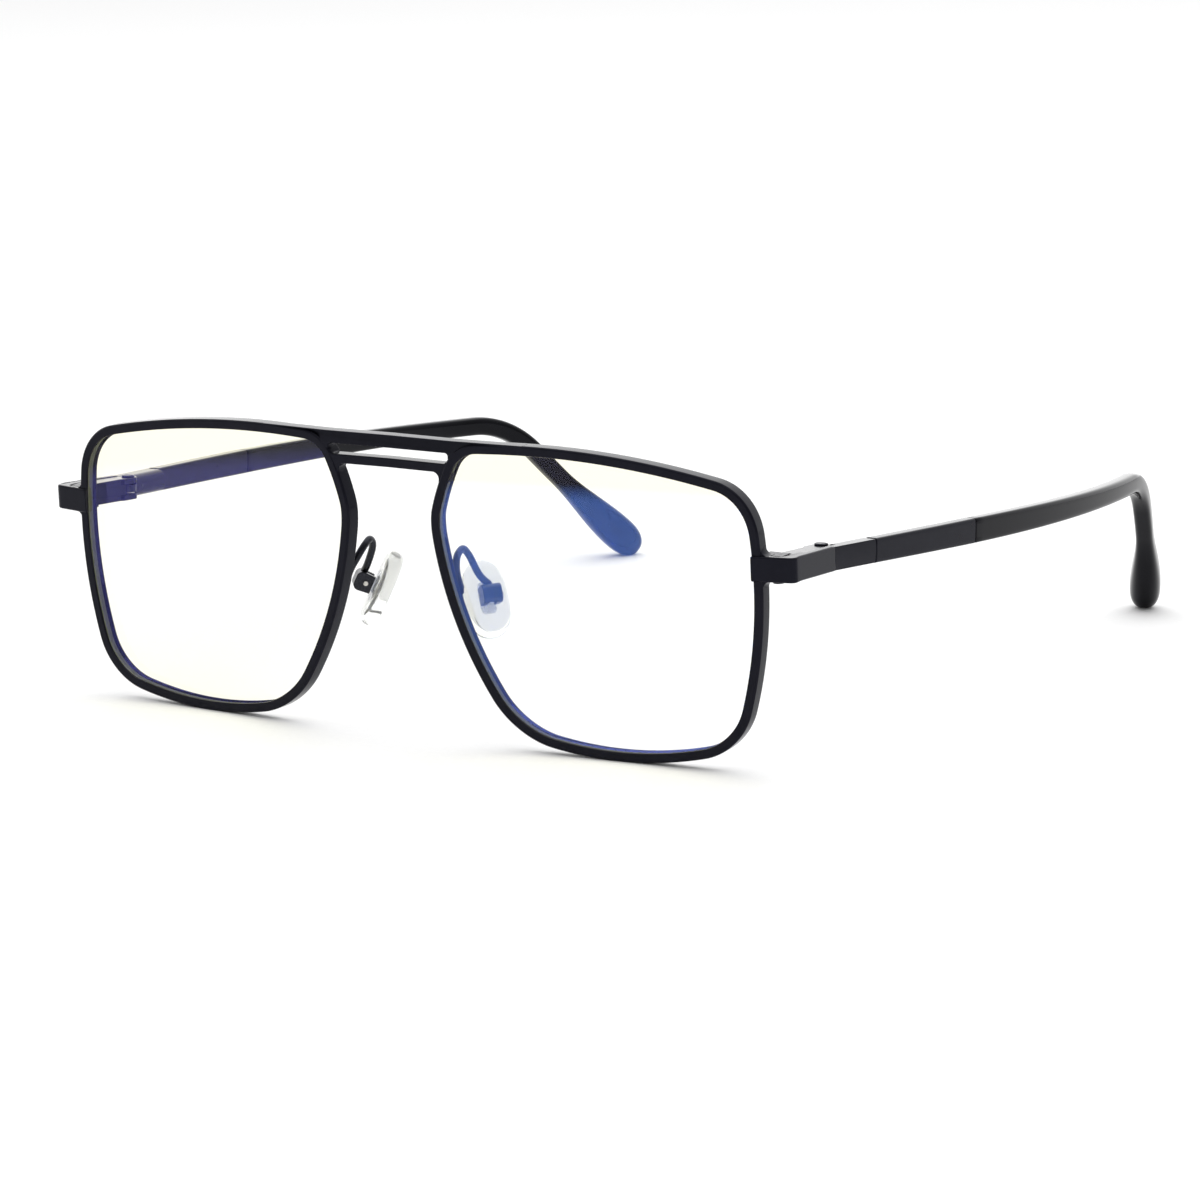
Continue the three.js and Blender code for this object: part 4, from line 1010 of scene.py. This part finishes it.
def pad_insert(side):
    # A lug between the box's cheeks, on a small plate moulded into the pad.
    lug = [(-0.9, 1.2), (pad_back, 1.15)] + arc((pivot_y, 0), 0.9, 90, 270, 17)
    lug += [(pad_back, -1.15), (-0.9, -1.2)]
    made = build("pad_insert_" + side, *slab(
        thicken(lug, 0.6), -0.6, 0.6, 0.15, across_x), pad_frame, side, insert_clear)
    settle(made, "pad_" + side, "clear_silicone", "pad_insert_" + side)
    plate = [(1.3 * x, 2.6 * z) for x, z in rounded(5.0, 40)]
    inside = build("insert_plate_" + side, *slab(
        plate, -0.95, -0.35, 0.12, across_y), pad_frame, side, insert_clear)
    settle(inside, "pad_" + side, "clear_silicone")


# ---- The glasses --------------------------------------------------------------------

for side in SIDES:
    rim(side)
    lens(side)
    endpiece(side)
    hinge_screw(side)
    spring_case(side)
    temple_bar(side)
    temple_tip(side)
    pad_arm(side)
    pad_box(side)
    nose_pad(side)
    pad_insert(side)
top_bridge()
lower_bridge()

# Small turned pieces keep the shape they have, and get their finish and, all but the spring, a fine edge
# break.
KEPT = {
    "hinge_bush": bright_steel, "hinge_tongue": dark_steel, "guide_sleeve": dark_steel,
    "flex_spring": bright_steel, "spring_retainer": bright_steel, "case_pin": dark_steel,
    "lock_block_upper": lacquer, "lock_block_lower": lacquer, "rim_lock_screw": dark_steel,
}
for name, material in KEPT.items():
    for side in SIDES:
        node = frame["nodes"][name + "_" + side]
        for holder in node.material_slots:
            holder.material = material
        if name != "flex_spring":
            edge = node.modifiers.new("edge_break", "BEVEL")
            edge.width = 0.00008
            edge.segments = 2
            edge.limit_method = "ANGLE"
            edge.angle_limit = math.radians(35)

# ---- Floor, light and camera --------------------------------------------------------


def studio_floor():
    """A matt white sweep."""
    material, tree = new_material("matt_white_sweep")
    place = add_node(tree, "ShaderNodeTexCoord")
    fibre = add_node(tree, "ShaderNodeTexNoise", inputs={
        "Vector": (place, "Object"), "Scale": 900.0, "Detail": 2.0})
    tone = ramp(tree, (fibre, 0), [(0.3, grey(0.90)), (0.7, grey(0.92))])
    shader = add_node(tree, "ShaderNodeBsdfPrincipled", inputs={
        "Base Color": (tone, "Color"), "Roughness": 0.9, "Specular IOR Level": 0.2})
    show(tree, shader)
    mesh = bpy.data.meshes.new("floor")
    mesh.from_pydata([(-6, -6, 0), (6, -6, 0), (6, 6, 0), (-6, 6, 0)], [], [(0, 1, 2, 3)])
    floor = bpy.data.objects.new("floor", mesh)
    floor.data.materials.append(material)
    bpy.context.scene.collection.objects.link(floor)


def area_light(name, place, target, size, power):
    data = bpy.data.lights.new(name, "AREA")
    data.shape = "RECTANGLE"
    data.size, data.size_y = size
    data.energy = power
    light = bpy.data.objects.new(name, data)
    light.location = place
    light.rotation_euler = (Vector(target) - Vector(place)).to_track_quat("-Z", "Y").to_euler()
    bpy.context.scene.collection.objects.link(light)


def studio_world():
    """A white tent: bright behind and to the wearer's right, dimmer in front."""
    world = bpy.data.worlds.new("white_tent")
    bpy.context.scene.world = world
    world.use_nodes = True
    tree = world.node_tree
    tree.nodes.clear()
    place = add_node(tree, "ShaderNodeTexCoord")
    parts = add_node(tree, "ShaderNodeSeparateXYZ", inputs={0: (place, "Generated")})
    behind = add_node(tree, "ShaderNodeMath", {"operation": "MULTIPLY_ADD"}, {
        0: (parts, "Y"), 1: 0.42, 2: 0.5})
    turn = add_node(tree, "ShaderNodeMath", {"operation": "MULTIPLY_ADD"}, {
        0: (parts, "X"), 1: -0.26, 2: (behind, 0)})
    tone = ramp(tree, (turn, 0), [
        (0.0, grey(0.06)), (0.5, grey(0.11)), (0.75, grey(0.3)), (0.97, grey(0.45))])
    sky = add_node(tree, "ShaderNodeBackground", inputs={"Color": (tone, "Color"), "Strength": 4.6})
    add_node(tree, "ShaderNodeOutputWorld", inputs={"Surface": (sky, 0)})


studio_floor()
studio_world()
area_light("overhead", (0.1, 0.15, 1.4), (0, 0, 0), (2.2, 2.2), 17)

# The camera stands 0.83 m off, to the wearer's left and a little above. Its place and
# focal length are in millimetres.
AZIMUTH, ELEVATION, ROLL = math.radians(32.67), math.radians(13.32), math.radians(-2.25)
FOCAL_LENGTH = 155.73
SENSOR_WIDTH = 36
eye = Vector((461.96, -663.51, 187.16))
back = Vector((math.sin(AZIMUTH) * math.cos(ELEVATION), -math.cos(AZIMUTH) * math.cos(ELEVATION),
               math.sin(ELEVATION)))
level_right = Vector((math.cos(AZIMUTH), math.sin(AZIMUTH), 0))
level_up = back.cross(level_right)
right = level_right * math.cos(ROLL) + level_up * math.sin(ROLL)
up = level_up * math.cos(ROLL) - level_right * math.sin(ROLL)
looks = Matrix((right, up, back)).transposed().to_4x4()
camera_data = bpy.data.cameras.new("camera")
camera_data.sensor_width = SENSOR_WIDTH
camera_data.lens = FOCAL_LENGTH
camera_data.shift_x = 0.0015
camera_data.shift_y = 0.0012
camera_data.clip_start = 0.01
camera_data.clip_end = 50
camera = bpy.data.objects.new("camera", camera_data)
camera.matrix_world = Matrix.Translation(to_row @ eye) @ (tip_over @ looks)
bpy.context.scene.collection.objects.link(camera)
bpy.context.scene.camera = camera
bpy.context.scene.view_settings.view_transform = "Standard"
